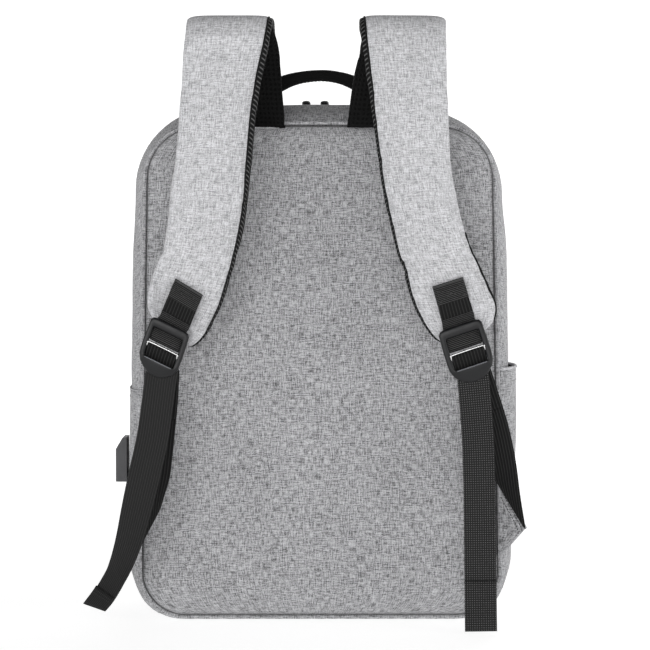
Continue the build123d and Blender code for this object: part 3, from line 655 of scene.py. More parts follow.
def body_grid(depths, grow, bulge=0.0, crease=0.0, seed=1):
    """Grid of the bag's wall over these depths in mm, padded out between its two edges."""
    depths = np.asarray(depths, float)
    first, last = depths[0], depths[-1]
    rows = []
    for y in depths:
        t = (y - first) / (last - first)
        pad = bulge * (4 * t * (1 - t)) ** 0.6
        flat = outline(y, grow + pad)
        rows.append(np.stack([flat[:, 0], np.full(len(flat), y), flat[:, 1]], 1))
    points = np.array(rows)
    if crease:
        broad = ripple(points * MM, 14.0, crease, seed)
        lift = broad + ripple(points * MM, 45.0, crease * 0.35, seed + 5)
        t = ((depths - first) / (last - first))[:, None]
        lift = lift * np.clip(4 * t * (1 - t) * 2.0, 0, 1)
        middle = np.array([0.0, 0.0, 210.0])
        away = unit((points - middle) * np.array([1.0, 0.0, 1.0]))
        points = points + away * lift[:, :, None]
        points[:, :, 2] = np.maximum(points[:, :, 2], 0.3)
    return points * MM


def face_grid(y, inset, rows, cols, z_low=None, z_high=None):
    """Flat grid that fills the outline at depth y, as (x, z) in mm, and how far in from its edge."""
    half = outline(y, -inset)
    right = half[: N_BASE + N_ARC - 1 + N_LOW + N_SIDE + N_ARC]
    side_top = right[-1][1]
    crown = half[:, 1].max() - side_top
    base = right[0][1]
    t = 0.5 - 0.5 * np.cos(np.linspace(0, math.pi, rows))
    t = 0.6 * t + 0.4 * np.linspace(0, 1, rows)
    z = base + t * (side_top - base)
    start = base if z_low is None else z_low
    end = side_top if z_high is None else z_high
    if z_low is not None or z_high is not None:
        z = start + (z - base) / (side_top - base) * (end - start)
    outer = np.interp(z, right[N_BASE:, 1], right[N_BASE:, 0])
    s = np.sin(np.linspace(-math.pi / 2, math.pi / 2, cols))
    s = 0.6 * s + 0.4 * np.linspace(-1, 1, cols)
    x = outer[:, None] * s[None]
    height = (z - base) / (side_top - base)
    zz = z[:, None] + crown * (1 - s[None] ** 2) * height[:, None] ** 12
    upright = np.minimum(zz - base, side_top + crown * (1 - s**2) - zz)
    edge = np.minimum(outer[:, None] - np.abs(x), upright)
    return x, zz, edge


# ---- back panel
REAR_Y, FRONT_Y = -62.0, 62.0
WALL = 3.4
BACK_THICK = 5.5
FRONT_PUFF = 1.2


def padded_face(name, y, out, rows, cols, puff, body, crease, seed, z_low=None, z_high=None):
    """A cloth face drawn in at its seam and padded in the middle; out is -1 or 1 along Y."""
    x, z, edge = face_grid(y, 1.4, rows, cols, z_low, z_high)
    edge = np.clip(edge, 0, None)
    flat = np.stack([x, np.full_like(x, 0.0), z], 2) * MM
    lift = puff * (1 - np.exp(-edge / 7.0))
    soft = 1 - np.exp(-edge / 16.0)
    lift = lift + soft * (ripple(flat, 11.0, crease, seed) + ripple(flat, 34.0, crease * 0.4, seed + 3))
    points = np.stack([x, y + out * (lift - 0.9), z], 2) * MM
    # Painted groove shade, strongest at the seam.
    seam = np.exp(-edge / 0.8) * 0.6
    piece = grid_piece(
        name, points, body_cloth, body, seam=seam.ravel(), toward=(0, out, 0)
    )
    return piece


back = padded_face(
    "back_panel_cloth", REAR_Y, -1, rows=150, cols=130, puff=2.8, body="tub", crease=1.2, seed=2
)
thicken(back, BACK_THICK, lining_cloth).modifiers["thickness"].material_offset_rim = 1
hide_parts("back_panel", "back_foam")

# ---- tub and lid walls
BAG_MIDDLE = (0.0, 0.0, 0.21)
TUB_EDGE_Y, LID_EDGE_Y = 15.0, 31.8
# Depths of the rear and front seams, and of the cloth edges turned beside them.
SEAM_Y = 61.2
BACK_ROLL_Y, FRONT_ROLL_Y = -60.8, 60.6


def wall_line(y, grow=0.0, first=RIGHT_SEAM, last=LEFT_SEAM):
    """Points of the wall's outline at depth y, in mm, from the right fold over the top to the left."""
    flat = outline(y, grow)
    index = np.arange(first, last + 1) % COLUMNS
    return np.stack([flat[index, 0], np.full(len(index), y), flat[index, 1]], 1)


def wall_piece(name, depths, first, last, body, crease, seed, bulge=0.0):
    """A padded stretch of the bag's wall between two depths and two outline columns."""
    points = body_grid(depths, 0.0, bulge, crease, seed)
    index = np.arange(first, last + 1) % COLUMNS
    points = points[:, index]
    depths = np.array(depths)
    near = np.minimum(depths - depths[0], depths[-1] - depths)
    # Painted groove shade, strongest at the two seams.
    seam = np.repeat(np.exp(-near / 0.8)[:, None] * 0.5, len(index), 1)
    piece = grid_piece(name, points, body_cloth, body, seam=seam.ravel(), away=BAG_MIDDLE)
    thicken(piece, WALL, lining_cloth)
    return piece


gussets = wall_piece(
    "gusset_cloth", np.linspace(-SEAM_Y, TUB_EDGE_Y, 36), RIGHT_SEAM, LEFT_SEAM, "tub", crease=0.8,
    seed=4, bulge=0.2,
)
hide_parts("gusset_left", "gusset_right", "gusset_top")
base = wall_piece(
    "base_cloth", np.linspace(-SEAM_Y, SEAM_Y, 50), LEFT_SEAM, RIGHT_SEAM + COLUMNS, "tub", crease=0.5,
    seed=4,
)
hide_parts("base_panel")
lid = wall_piece(
    "lid_wall_cloth", np.linspace(LID_EDGE_Y, SEAM_Y, 16), RIGHT_SEAM, LEFT_SEAM, "lid", crease=0.6,
    seed=6, bulge=0.5,
)
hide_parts("lid_gusset_left", "lid_gusset_right", "lid_gusset_top")
lid_face = padded_face(
    "lid_front_cloth", FRONT_Y, 1, rows=110, cols=110, puff=FRONT_PUFF, body="lid", crease=0.3, seed=9,
    z_low=SEAM_Z + 0.6,
)
thicken(lid_face, WALL, lining_cloth)
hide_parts("lid_front_panel")
boot_face = padded_face(
    "boot_front_cloth", FRONT_Y, 1, rows=40, cols=110, puff=FRONT_PUFF, body="tub", crease=0.3, seed=9,
    z_high=SEAM_Z - 0.1,
)
thicken(boot_face, WALL, lining_cloth)
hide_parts("boot_front")

# Turned cloth edges that stand beside the seams.
back_line = wall_line(BACK_ROLL_Y, 0.3, 0, COLUMNS - 1)
back_roll = tube("back_seam_roll", back_line, 1.6, body_cloth, "tub", 12, closed=True)
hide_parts("back_piping")
tube("lid_seam_roll", wall_line(FRONT_ROLL_Y, 0.2), 1.3, body_cloth, "lid", 12)
boot_line = wall_line(FRONT_ROLL_Y, 0.2, LEFT_SEAM, RIGHT_SEAM + COLUMNS)
tube("boot_seam_roll", boot_line, 1.3, body_cloth, "tub", 12)

# The fold that joins the lid to the boot, in one piece of cloth.
FOLD_HALF, FOLD_REACH, FOLD_Y = 134.0, 10.0, 63.4
fold_z = np.linspace(SEAM_Z - FOLD_REACH, SEAM_Z + FOLD_REACH, 17)
fold_z, fold_x = np.meshgrid(fold_z, np.linspace(-FOLD_HALF, FOLD_HALF, 60), indexing="ij")
fold_y = FOLD_Y + 0.5 * np.cos((fold_z - SEAM_Z) / FOLD_REACH * math.pi / 2)
fold = np.stack([fold_x, fold_y, fold_z], 2)
fold_piece = grid_piece("lid_fold_cloth", fold * MM, body_cloth, None, toward=(0, 1, 0))
thicken(fold_piece, 1.0)
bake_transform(fold_piece)

# ---- main zip
for side_name, body, tape_y, coil_y in (
    ("body", "tub", (12.0, 21.8), 22.4), ("lid", "lid", (25.0, 34.8), 24.4)
):
    tape = np.array([wall_line(y, -1.9) for y in np.linspace(*tape_y, 6)])
    tape_piece = grid_piece(
        f"zip_tape_{side_name}_cloth", tape * MM, zip_cloth, body, away=BAG_MIDDLE
    )
    thicken(tape_piece, 0.8)
    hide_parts(f"zip_tape_{side_name}")
    coil = helix(wall_line(coil_y, -1.3), 0.8, 1.9)
    coil_piece = tube(f"zip_coil_{side_name}_wound", coil, 0.36, coil_nylon, body, 4)
    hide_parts(f"zip_coil_{side_name}")
stitches("tub_zip_stitching", [wall_line(12.2, 0.5)], thread_grey, "tub", "body_fabric")
stitches("lid_zip_stitching", [wall_line(34.6, 0.2)], thread_grey, "lid", "body_fabric")

SLIDER_X = {"left": -11.5, "right": 4.0}
SLIDER_Y = 22.6
PLATE_Z = 422.2
EYE_Y, EYE_Z = 21.6, 424.1
EYE_HALF = 2.6
for side, x in SLIDER_X.items():
    slider = soft_box(
        f"main_slider_{side}_plate", (x, SLIDER_Y, PLATE_Z), (11.0, 8.6, 3.0), dark_metal,
        f"main_slider_{side}", 0.5,
    )
    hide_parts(f"main_slider_{side}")
    arch = [(x, 19.2, 422.4), (x, 19.6, 426.0), (x, 22.0, 427.4), (x, 24.8, 426.2), (x, 25.6, 422.4)]
    line = smooth_line(arch, 16)
    strip(
        f"main_slider_{side}_bridge", line, (1.9, 0, 0), 0.9, dark_metal, f"main_slider_{side}",
    )
    body = f"main_pull_{side}"
    grip_middle = (x, EYE_Y - 14.0, EYE_Z + 0.7)
    pull = soft_box(
        f"main_pull_{side}_grip", grip_middle, (7.4, 20.0, 4.4), dark_metal, body, 0.8
    )
    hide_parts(f"main_pull_{side}")
    left_side = [(x - EYE_HALF, y, EYE_Z) for y in (EYE_Y - 5.1, EYE_Y - 1.0)]
    right_side = [(x + EYE_HALF, y, EYE_Z) for y in (EYE_Y - 1.0, EYE_Y - 5.1)]
    ring = [*left_side, (x, EYE_Y + 0.5, EYE_Z), *right_side]
    tube(f"main_pull_{side}_ring", smooth_line(ring, 20), 0.55, dark_metal, body, 8)

# ---- shoulder straps
# Each row: inner x, inner z, outer x, outer z, in mm, from the sewn root over the top and down.
STRAP_ROWS = {
    "left": [
        (-27.5, 399, -90, 399), (-31, 436, -95.6, 436), (-34, 464, -99.7, 464),
        (-35.5, 479, -104, 479), (-38.5, 465, -105.5, 465), (-47, 420, -108.5, 420),
        (-52.5, 370, -114, 370), (-56, 340, -118, 345), (-59, 318, -120, 325),
        (-65, 295, -124.5, 303), (-70, 279, -130, 287), (-76.5, 259, -134, 272),
        (-84.5, 243.5, -135.5, 261), (-91, 232.5, -134, 252), (-97, 226, -130, 246),
        (-101.5, 224.3, -124, 240), (-105, 226, -119, 236),
    ],
    "right": [
        (21.5, 399, 84, 399), (25.5, 436, 89.5, 436), (30, 464, 94, 464), (30.0, 479, 98, 479),
        (31.5, 465, 98.5, 465), (36.8, 420, 101, 420), (43.5, 370, 105, 370),
        (48.5, 340, 109.5, 345), (53.5, 318, 114, 325), (58, 298, 120, 305), (63, 284, 127, 287),
        (69, 266, 133, 272), (75, 252, 138, 258), (83, 239, 137, 248), (90, 231, 134, 242),
        (97, 228, 128, 237), (105, 228.5, 119, 232.5),
    ],
}
# Height and depth of the strap's middle layer, up at the back and down in front.
STRAP_RISE = np.array([(399, -69), (436, -73), (464, -80), (479, -94)], float)
STRAP_FALL = np.array(
    [
        (214, -97), (236, -99), (270, -102.5), (320, -107), (380, -110.5), (432, -111),
        (465, -107.5), (479, -94),
    ],
    float,
)
STRAP_THICK = 11.0
STRAP_PRESSURE, STRAP_SWELL = 4.0, 3.5
STRAP_SEAM_DIP = 1.1
COVER_SPAN = (-24.0, 138.0)
SEAM_WRAP = 18.0
SIDE_COLUMNS = 8
PEAK_Z, PEAK_LIFT = 455.0, 1.4
OUTER_EDGE_ROWS = slice(108, 140)


def strap_frame(side, count):
    """Rows of a strap: middle, half width vector and outward normal, in mm."""
    line = []
    for k, (x_in, z_in, x_out, z_out) in enumerate(STRAP_ROWS[side]):
        table = STRAP_RISE if k <= 3 else STRAP_FALL
        y_in, y_out = np.interp((z_in, z_out), table[:, 0], table[:, 1])
        line.append((x_in, y_in, z_in, x_out, y_out, z_out))
    line = smooth_line(line, count)
    inner, outer = line[:, :3], line[:, 3:]
    middle = (inner + outer) / 2
    half = (outer - inner) / 2
    normal = unit(np.cross(half, np.gradient(middle, axis=0)))
    return middle, half, normal if side == "left" else -normal


def strap_rings(side, count=150, around=72):
    """Rings of a closed padded strap in metres."""
    middle, half, normal = strap_frame(side, count)
    run = travelled(middle)
    left = run[-1] - run
    thin = np.clip(0.25 + 0.75 * np.sqrt(np.clip(left / 14.0, 0, 1)), 0.25, 1)
    root = 0.35 + 0.65 * (1 - np.exp(-run / 12.0))
    angle = ring_angles(around)
    seam_place = np.exp(-(((np.degrees(angle) - COVER_SPAN[1]) / 30.0) ** 2))
    wrapped = np.clip((run / run[-1] - 0.4) / 0.25, 0, 1)
    turned = angle[None] + math.radians(SEAM_WRAP) * wrapped[:, None] * seam_place[None]
    across = eased(np.cos(turned), 0.36)
    through = eased(np.sin(turned), 0.62)
    depth = (STRAP_THICK / 2 * thin * root)[:, None, None]
    rings = middle[:, None] + across[:, :, None] * half[:, None]
    rings = rings + through[:, :, None] * normal[:, None] * depth
    return rings * MM


def pinched(points, column, amount, reach=2.2):
    """Draws a grid in along one column, as a seam does."""
    cols = points.shape[1]
    middle = points.mean(1, keepdims=True)
    offset = (np.arange(cols) - column + cols / 2) % cols - cols / 2
    return points + unit(middle - points) * (np.exp(-((offset / reach) ** 2)) * amount)[None, :, None]


cover_trees = {}
BESIDE_STRAP_Y = -104.0
for side in ("left", "right"):
    rings = strap_rings(side)
    rings[:, :, 2] += PEAK_LIFT * MM * np.clip((rings[:, :, 2] - PEAK_Z * MM) / 0.03, 0, 1)
    rings = inflated(rings, STRAP_PRESSURE, STRAP_SWELL * MM)
    cols = rings.shape[1]
    step = 360.0 / cols
    first = int(round(COVER_SPAN[0] / step))
    last = int(round(COVER_SPAN[1] / step))
    for column in (first, last):
        rings = pinched(rings, column, STRAP_SEAM_DIP * MM)
    body = f"strap_{side}"
    covered = rings[:, np.arange(first, last + 1) % cols]
    outer = grid_piece(
        f"strap_cover_cloth_{side}", covered, strap_cloth_painted_lit, body, away=(0, 0, 0)
    )
    cover_trees[side] = BVHTree.FromPolygons(
        [v.co.copy() for v in outer.data.vertices], [p.vertices[:] for p in outer.data.polygons]
    )
    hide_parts(f"strap_cover_{side}", f"strap_foam_{side}")
    ribbed = last + SIDE_COLUMNS
    lined = rings[:, np.arange(ribbed, first + cols + 1) % cols]
    inner = grid_piece(f"strap_mesh_{side}", lined, black_mesh, body)
    sided = rings[:, np.arange(last, ribbed + 1) % cols]
    edge_cloth = grid_piece(
        f"strap_side_{side}", sided, side_rib, body, away=(0, -0.1, 0.3)
    )
    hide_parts(f"strap_lining_{side}")
    edge = rings[:, last % cols] / MM
    narrowing = np.linspace(1.0, 0.5, len(edge))
    tube(f"strap_edge_{side}", edge, narrowing, lining_cloth, body, 8)
    if side == "right":
        outer_edge = rings[OUTER_EDGE_ROWS, 2] / MM
        tube("strap_outer_edge_right", outer_edge, 1.0, lining_cloth, body, 8)
    tube(f"strap_end_{side}", rings[-1] / MM, 1.1, strap_cloth_painted_lit, body, 8, closed=True)


def on_cover(side, x, z):
    """Depth in mm of the strap's face in front of this point."""
    hit = cover_trees[side].ray_cast(Vector((x * MM, -0.3, z * MM)), Vector((0, 1, 0)))
    return hit[0].y / MM if hit[0] is not None else BESIDE_STRAP_Y


# ---- tabs, locks and tails
# Top middle, lean of the top edge and lean of the sides.
TABS = {"left": ((-102.0, 273.5), -31.0, -22.5), "right": ((99.0, 277.6), 17.5, 16.5)}
LOCKS = {"left": ((-116.0, 243.2), -26.0, -19.5), "right": ((108.4, 243.0), 18.7, 17.5)}
LOCK_STRETCH = {"left": (0.98, 1.05), "right": (1.05, 1.14)}
LOCK_MIDDLE_Y = -112.0
LOCK_TOP_V = 19.2
TAIL_LINES = {
    "left": [
        (-122.6, 211.0), (-124.6, 200.0), (-127.2, 181.0), (-131.0, 155.0), (-137.0, 128.0),
        (-144.0, 98.0), (-150.5, 72.0), (-158.5, 50.0), (-168.5, 32.0), (-177.0, 20.8),
    ],
    "right": [
        (118.4, 211.0), (120.0, 198.4), (122.3, 172.0), (124.2, 140.0), (125.4, 80.0), (126.4, 2.2),
    ],
}
TAIL_Y = -110.5
TAIL_ROWS = 80
WEB_THICK = 1.6
TAIL_TWIST = {"left": 46.0, "right": 0.0}
TAIL_END_HALF = np.array([-9.2, 8.4, 1.2])
HEM_ROWS = {"left": 7, "right": 16}
SEWN_ROW = -6
WEB_HALF = 12.5
# Inner and outer edge of half of a lock's frame as (u, v), from the middle of its top bar down.
LOCK_EDGES = [
    ((0, 12.6), (0, 19.4)), ((10.5, 12.6), (12.4, 19.3)), ((12.4, 12.4), (15.4, 18.5)),
    ((12.8, 11.8), (16.8, 16.4)), ((12.8, 4.0), (17.4, 4.0)), ((12.8, -4.0), (17.4, -4.0)),
    ((12.8, -9.0), (16.8, -10.0)), ((12.4, -9.8), (14.6, -14.4)), ((9.0, -10.0), (10.4, -18.0)),
    ((4.5, -10.0), (5.2, -20.6)), ((0, -10.0), (0, -21.2)),
]


def leaning(place, drop):
    """Origin, across and up vectors in mm of a leaning part, this far below its top edge."""
    (x_top, z_top), edge_lean, side_lean = place
    edge_lean, side_lean = math.radians(edge_lean), math.radians(side_lean)
    across = np.array([math.cos(edge_lean), 0.0, math.sin(edge_lean)])
    up = np.array([-math.sin(side_lean), 0.0, math.cos(side_lean)])
    return np.array([x_top, LOCK_MIDDLE_Y, z_top]) - up * drop, across, up


def in_lock(side, points):
    """Places (u, v, w) points of a lock, w out toward the wearer, in mm."""
    wide, tall = LOCK_STRETCH[side]
    origin, across, up = leaning(LOCKS[side], LOCK_TOP_V * tall)
    points = np.array(points, float) * np.array([wide, tall, 1.0])
    out = np.array([0.0, -1.0, 0.0])
    return origin + points[:, :1] * across + points[:, 1:2] * up + points[:, 2:3] * out


def lock_frame(side):
    """The moulded ladder lock: a rounded top bar, side rails and a wide lower lip."""
    half = np.array([[*a, *b] for a, b in LOCK_EDGES], float)
    fine = []
    for a, b in zip(half[:-1], half[1:]):
        fine.extend(a + (b - a) * t for t in np.linspace(0, 1, 5, endpoint=False))
    fine.append(half[-1])
    fine = np.array(fine)
    mirror = fine[::-1][1:-1] * np.array([-1, 1, -1, 1])
    loop = np.concatenate([fine, mirror])
    angle = ring_angles(20)
    across = eased(np.cos(angle), 0.55)
    through = eased(np.sin(angle), 0.7)
    inner, outer = loop[:, :2], loop[:, 2:]
    middle, reach = (inner + outer) / 2, (outer - inner) / 2
    lip = np.clip((-8.0 - middle[:, 1]) / 4.0, 0, 1)
    depth = 2.5 - 1.1 * lip
    centre = 1.0 * lip
    flat = middle[:, None] + across[None, :, None] * reach[:, None]
    slope = lip[:, None] * (1.2 - 2.6 * (across[None] + 1) / 2)
    w = centre[:, None] + through[None] * depth[:, None] + slope
    points = np.concatenate([flat, w[:, :, None]], 2)
    placed = in_lock(side, points.reshape(-1, 3)).reshape(points.shape)
    placed = np.concatenate([placed, placed[:1]], 0)
    piece = grid_piece(
        f"ladder_lock_frame_{side}", placed * MM, lock_plastic, f"lock_{side}", wrap=True
    )
    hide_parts(f"ladder_lock_{side}")
    return piece


def line_normals_half(line, width):
    """Half-width vectors square to a line in front view."""
    ahead = np.gradient(np.array(line, float), axis=0)
    return unit(np.stack([ahead[:, 2], np.zeros(len(ahead)), -ahead[:, 0]], 1)) * width


def box_stitch(origin, across, up, width, height):
    """Lines of a sewn box with a cross, in mm."""
    signs = ((-1, -1), (1, -1), (1, 1), (-1, 1))
    corner = [origin + across * a * width / 2 + up * b * height / 2 for a, b in signs]
    return [
        [corner[0], corner[1]], [corner[1], corner[2]], [corner[2], corner[3]], [corner[3], corner[0]],
        [corner[0], corner[2]], [corner[1], corner[3]],
    ]


for side in ("left", "right"):
    strap_body, lock_body, tail_body = f"strap_{side}", f"lock_{side}", f"tail_{side}"
    lock_frame(side)

    # The tab lies on the strap, passes behind the lock's top bar and shows in its upper window.
    origin, across, up = leaning(TABS[side], 0.0)
    _, lock_across, _ = leaning(LOCKS[side], 0.0)
    tab = []
    for drop in np.linspace(1.0, 31.0, 11):
        place = origin - up * drop
        tab.append((place[0], on_cover(side, place[0], place[2]) - 1.0, place[2]))
    tab = np.array(tab)
    tab[:, 1] = np.minimum(tab[:, 1], np.linspace(tab[0, 1], LOCK_MIDDLE_Y + 3.0, len(tab)))
    window = in_lock(
        side, [(0, 17.0, -3.1), (0, 12.6, -2.2), (0, 8.0, -0.6), (0, 4.6, -0.4), (0, 3.0, -2.0)]
    )
    line = smooth_line(np.concatenate([tab, window]), 60)
    share = np.clip(np.linspace(-0.6, 1.4, 60), 0, 1)[:, None]
    half = (across * (1 - share) + lock_across * share * LOCK_STRETCH[side][0] * 1.03) * WEB_HALF
    piece = strip(f"web_tab_strip_{side}", line, half, 1.5, tab_webbing, strap_body)
    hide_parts(f"web_tab_{side}")
    # The folded layer: ribbed at first, then a length in the darker side_web cloth, whose darkness is
    # partly its plain weave and partly painted shade where the webbing dips down and in.
    over = np.sin(np.linspace(0, 1, 31) ** 0.8 * math.pi) * 1.6
    over_line = line[:31] + np.array([0.0, -1.3, 0.0]) - np.outer(over, (0, 1, 0))
    strip(f"web_tab_fold_{side}", over_line[:18], half[:18], 1.3, tab_webbing, strap_body)
    strip(
        f"web_tab_dip_painted_shade_{side}", over_line[16:], half[16:31] * 0.995, 1.2, side_web, strap_body
    )
    for name, row in (("top", 1), ("low", 5)):
        ends = [line[row] + half[row] * k + np.array([0.0, -2.6, 0.0]) for k in np.linspace(-1, 1, 9)]
        tube(f"web_tab_ridge_{name}_{side}", ends, 0.38, web_edge, strap_body, 6)
    sewn = tab[3] + np.array([0.0, -3.4, 0.0])
    frame_lines = box_stitch(sewn, across, up, 20.0, 9.0)
    stitches(
        f"web_tab_stitching_{side}", frame_lines, thread_black, strap_body, "webbing", **FINE_THREAD
    )

    # The webbing that comes up behind the lip, over the metal bar and down behind it.
    turn = [
        (0, -17.0, -1.6), (0, -12.0, -1.4), (0, -8.6, -0.6), (0, -5.0, 0.6), (0, -2.4, 1.4),
        (0, -0.4, 1.3), (0, 0.9, 0.2), (0, 0.6, -1.4), (0, -2.0, -2.6), (0, -7.0, -3.2),
        (0, -13.0, -3.4),
    ]
    line = smooth_line(in_lock(side, turn), 60)
    turn_half = lock_across * WEB_HALF * LOCK_STRETCH[side][0] * 1.02
    piece = strip(f"web_turn_strip_{side}", line, turn_half, 1.5, side_web, lock_body)
    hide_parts(f"web_turn_{side}")
    right_wire = [(11.0, 1.0, 2.7), (12.9, -0.2, 2.3), (13.2, -3.0, 0.6)]
    wire = [(-u, v, w) for u, v, w in right_wire[::-1]] + right_wire
    wire = smooth_line(in_lock(side, wire), 40)
    wire_piece = tube(f"lock_wire_{side}", wire, 0.62, bar_metal, lock_body)
    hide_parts(f"lock_bar_{side}")
    # A thin rim along the lip's upper edge in the lighter plastic: a painted highlight of that edge.
    lip_edge = smooth_line(in_lock(side, [(-11.6, -10.4, 3.0), (0, -10.4, 3.2), (11.6, -10.4, 3.0)]), 12)
    tube(f"lock_lip_painted_highlight_{side}", lip_edge, 0.42, lip_highlight_plastic, lock_body, 8)

    # The hanging tail with its folded and sewn end.
    line = smooth_line([(x, TAIL_Y, z) for x, z in TAIL_LINES[side]], TAIL_ROWS)
    share = np.linspace(0, 1, TAIL_ROWS)
    line[:, 1] += np.interp(share, [0, 0.2, 0.5, 0.8, 1], [0, 0.0, -0.9, 0.4, -0.6])
    half = line_normals_half(line, WEB_HALF)
    turned = np.clip((share - 0.45) / 0.4, 0, 1) * math.radians(TAIL_TWIST[side])
    edgeways = np.outer(WEB_HALF * np.sin(turned), (0.0, 1.0, 0.0))
    half = half * np.cos(turned)[:, None] + edgeways
    if side == "left":
        ending = np.clip((share - 0.86) / 0.14, 0, 1)[:, None] ** 1.4
        half = half * (1 - ending) + TAIL_END_HALF * ending
    weave = tail_webbing if side == "left" else dotted_webbing
    tail = strip(f"web_tail_strip_{side}", line, half, WEB_THICK, weave, None)
    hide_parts(f"web_tail_{side}")
    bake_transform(tail)
    hem_rows = HEM_ROWS[side]
    front = np.cross(half, np.gradient(line, axis=0))
    front *= -np.sign(front[:, 1:2]) / np.linalg.norm(front, axis=1)[:, None]
    hem = line[-hem_rows:] + front[-hem_rows:] * 1.2
    strip(f"web_tail_hem_{side}", hem, half[-hem_rows:] * 1.01, 1.5, weave, tail_body)
    sewn = []
    for k in (SEWN_ROW, SEWN_ROW + 1):
        place = line[k] + front[k] * 2.3
        sewn.append([place - half[k] * 0.95, place + half[k] * 0.95])
    stitches(f"web_tail_stitching_{side}", sewn, thread_black, tail_body, "webbing", **FINE_THREAD)

# ---- lower webbing and wings
LOWER_SIDE_VIEW = np.array(
    [(-107.2, 206.0), (-102.5, 188.0), (-94.0, 160.0), (-84.0, 130.0), (-77.0, 112.0), (-71.5, 97.0)],
    float
)
LOWER_FRONT_VIEW = {
    "left": [
        (-122.5, 208.0), (-124.0, 186.0), (-127.5, 156.0), (-131.5, 126.0), (-135.5, 100.0),
        (-137.5, 77.0),
    ],
    "right": [
        (121.5, 206.0), (128.0, 187.0), (137.0, 160.0), (144.5, 130.0), (148.5, 113.0),
        (153.2, 97.2),
    ],
}
# Half of the sewn lower edge of each webbing, along the wing that holds it.
LOWER_END = {"left": (-9.0, -2.0, -17.0), "right": (11.9, -4.5, -20.0)}
WING_SEAM = (144.6, -62.2)
# Height and width of each wing, from its lower corner over the apex to its upper corner.
WING_EDGE = np.array(
    [(52, 0.4), (57, 5), (62, 9.6), (70, 16.6), (77.4, 23), (82, 20.4), (97, 11.4), (112, 3), (117, 0.4)],
    float
)
WING_REACH = {"left": 0.68, "right": 1.0}
WING_DROP = {"left": 15.0, "right": 0.0}
WING_TURN = math.radians(24.0)
LOWER_ROWS, SPLIT_ROW = 60, 17
WING_ROWS, WING_APEX = 90, 4

for side, sign in (("left", -1), ("right", 1)):
    line = [(x, y, z) for (x, z), (y, _) in zip(LOWER_FRONT_VIEW[side], LOWER_SIDE_VIEW)]
    line = smooth_line(line, LOWER_ROWS)
    half = line_normals_half(line, WEB_HALF)
    skew = np.clip((np.linspace(0, 1, LOWER_ROWS) - 0.62) / 0.38, 0, 1)[:, None] ** 1.5
    target = np.array(LOWER_END[side])
    target = target * np.sign((half[-1] * target).sum())
    half = half * (1 - skew) + target * skew
    # In two lengths: the long one between bag and strap, the short one between strap and lock.
    long_line, short_line = line[SPLIT_ROW:], line[: SPLIT_ROW + 1]
    lower = strip(
        f"lower_webbing_strip_{side}", long_line, half[SPLIT_ROW:], WEB_THICK, side_web, None
    )
    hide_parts(f"lower_webbing_{side}")
    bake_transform(lower)
    upper = strip(
        f"lower_webbing_top_{side}", short_line, half[: SPLIT_ROW + 1], WEB_THICK, side_web, None,
    )
    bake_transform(upper)

    spread = np.array([sign * math.cos(WING_TURN), -math.sin(WING_TURN), 0.0])
    edge_z = WING_EDGE[:, 0] - WING_DROP[side]
    edge_width = WING_EDGE[:, 1] * WING_REACH[side]
    height = np.linspace(edge_z[0], edge_z[-1], WING_ROWS)
    width = np.interp(height, edge_z, edge_width)
    root = np.array([sign * WING_SEAM[0], WING_SEAM[1] - 1.2, 0.0])
    seam = root + np.outer(height, (0.0, 0.0, 1.0))
    middle = seam + spread * (width / 2)[:, None]
    wing = strip(
        f"wing_cloth_{side}", middle, spread * (width / 2)[:, None], 3.0, body_cloth, "tub",
        40, 0.6
    )
    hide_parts(f"wing_{side}")
    upper = []
    for inset in (4.0, 8.0):
        z = np.linspace(edge_z[WING_APEX] - 2.0, edge_z[-1] - 7.0, 24)
        out = np.interp(z, edge_z[WING_APEX:], edge_width[WING_APEX:]) - inset * 0.86
        sewn = root + spread * np.clip(out, 0.5, None)[:, None] + np.array([0.0, -2.0, 0.0])
        sewn[:, 2] = z
        upper.append(sewn[out > 0.5])
    rim_z = np.linspace(edge_z[WING_APEX], edge_z[-1] - 1.0, 24)
    rim = root + spread * np.interp(rim_z, edge_z[WING_APEX:], edge_width[WING_APEX:])[:, None]
    rim[:, 1] -= 1.5
    rim[:, 2] = rim_z
    tube(f"wing_hem_{side}", rim, 1.25, hem_cloth, "tub", 8)
    stitches(f"wing_stitching_{side}", upper, thread_black, "tub", "body_fabric", 2.6, 1.9, 0.3)

# ---- grab handle
HANDLE_Y = -40.0
HANDLE_REACH = 60.0
PATCH_Y = -34.0
arch = [
    (-60, 421.6), (-57, 424.5), (-50, 428.0), (-31, 437.2), (-21, 440.8), (-9, 443.0), (4, 443.6),
    (16, 441.8), (25, 438.9), (36, 434.0), (50, 427.6), (57, 424.5), (60, 421.6),
]
line = smooth_line([(x, HANDLE_Y, z) for x, z in arch], 90)
reach = np.abs(line[:, 0]) / HANDLE_REACH
half = np.zeros_like(line)
half[:, 1] = 7.6 + 3.2 * reach**4
deep = np.interp(np.abs(line[:, 0]), [0, 15, 25, 32, 42, 50, 60], [8.8, 9.4, 10.6, 11.8, 10.6, 7.2, 3.6])
grip = strip("handle_grip_cloth", line, half, deep, handle_cloth, None, 32, 0.8)
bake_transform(grip)
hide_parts("handle_grip")
seam_line = line[6:-6] - np.array([0.0, 0.0, 1.0]) * (deep[6:-6, None] / 2 + 0.05)
stitches("handle_stitching", [seam_line], thread_black, "handle", "handle_fabric", radius=0.3)
patch_lines = []
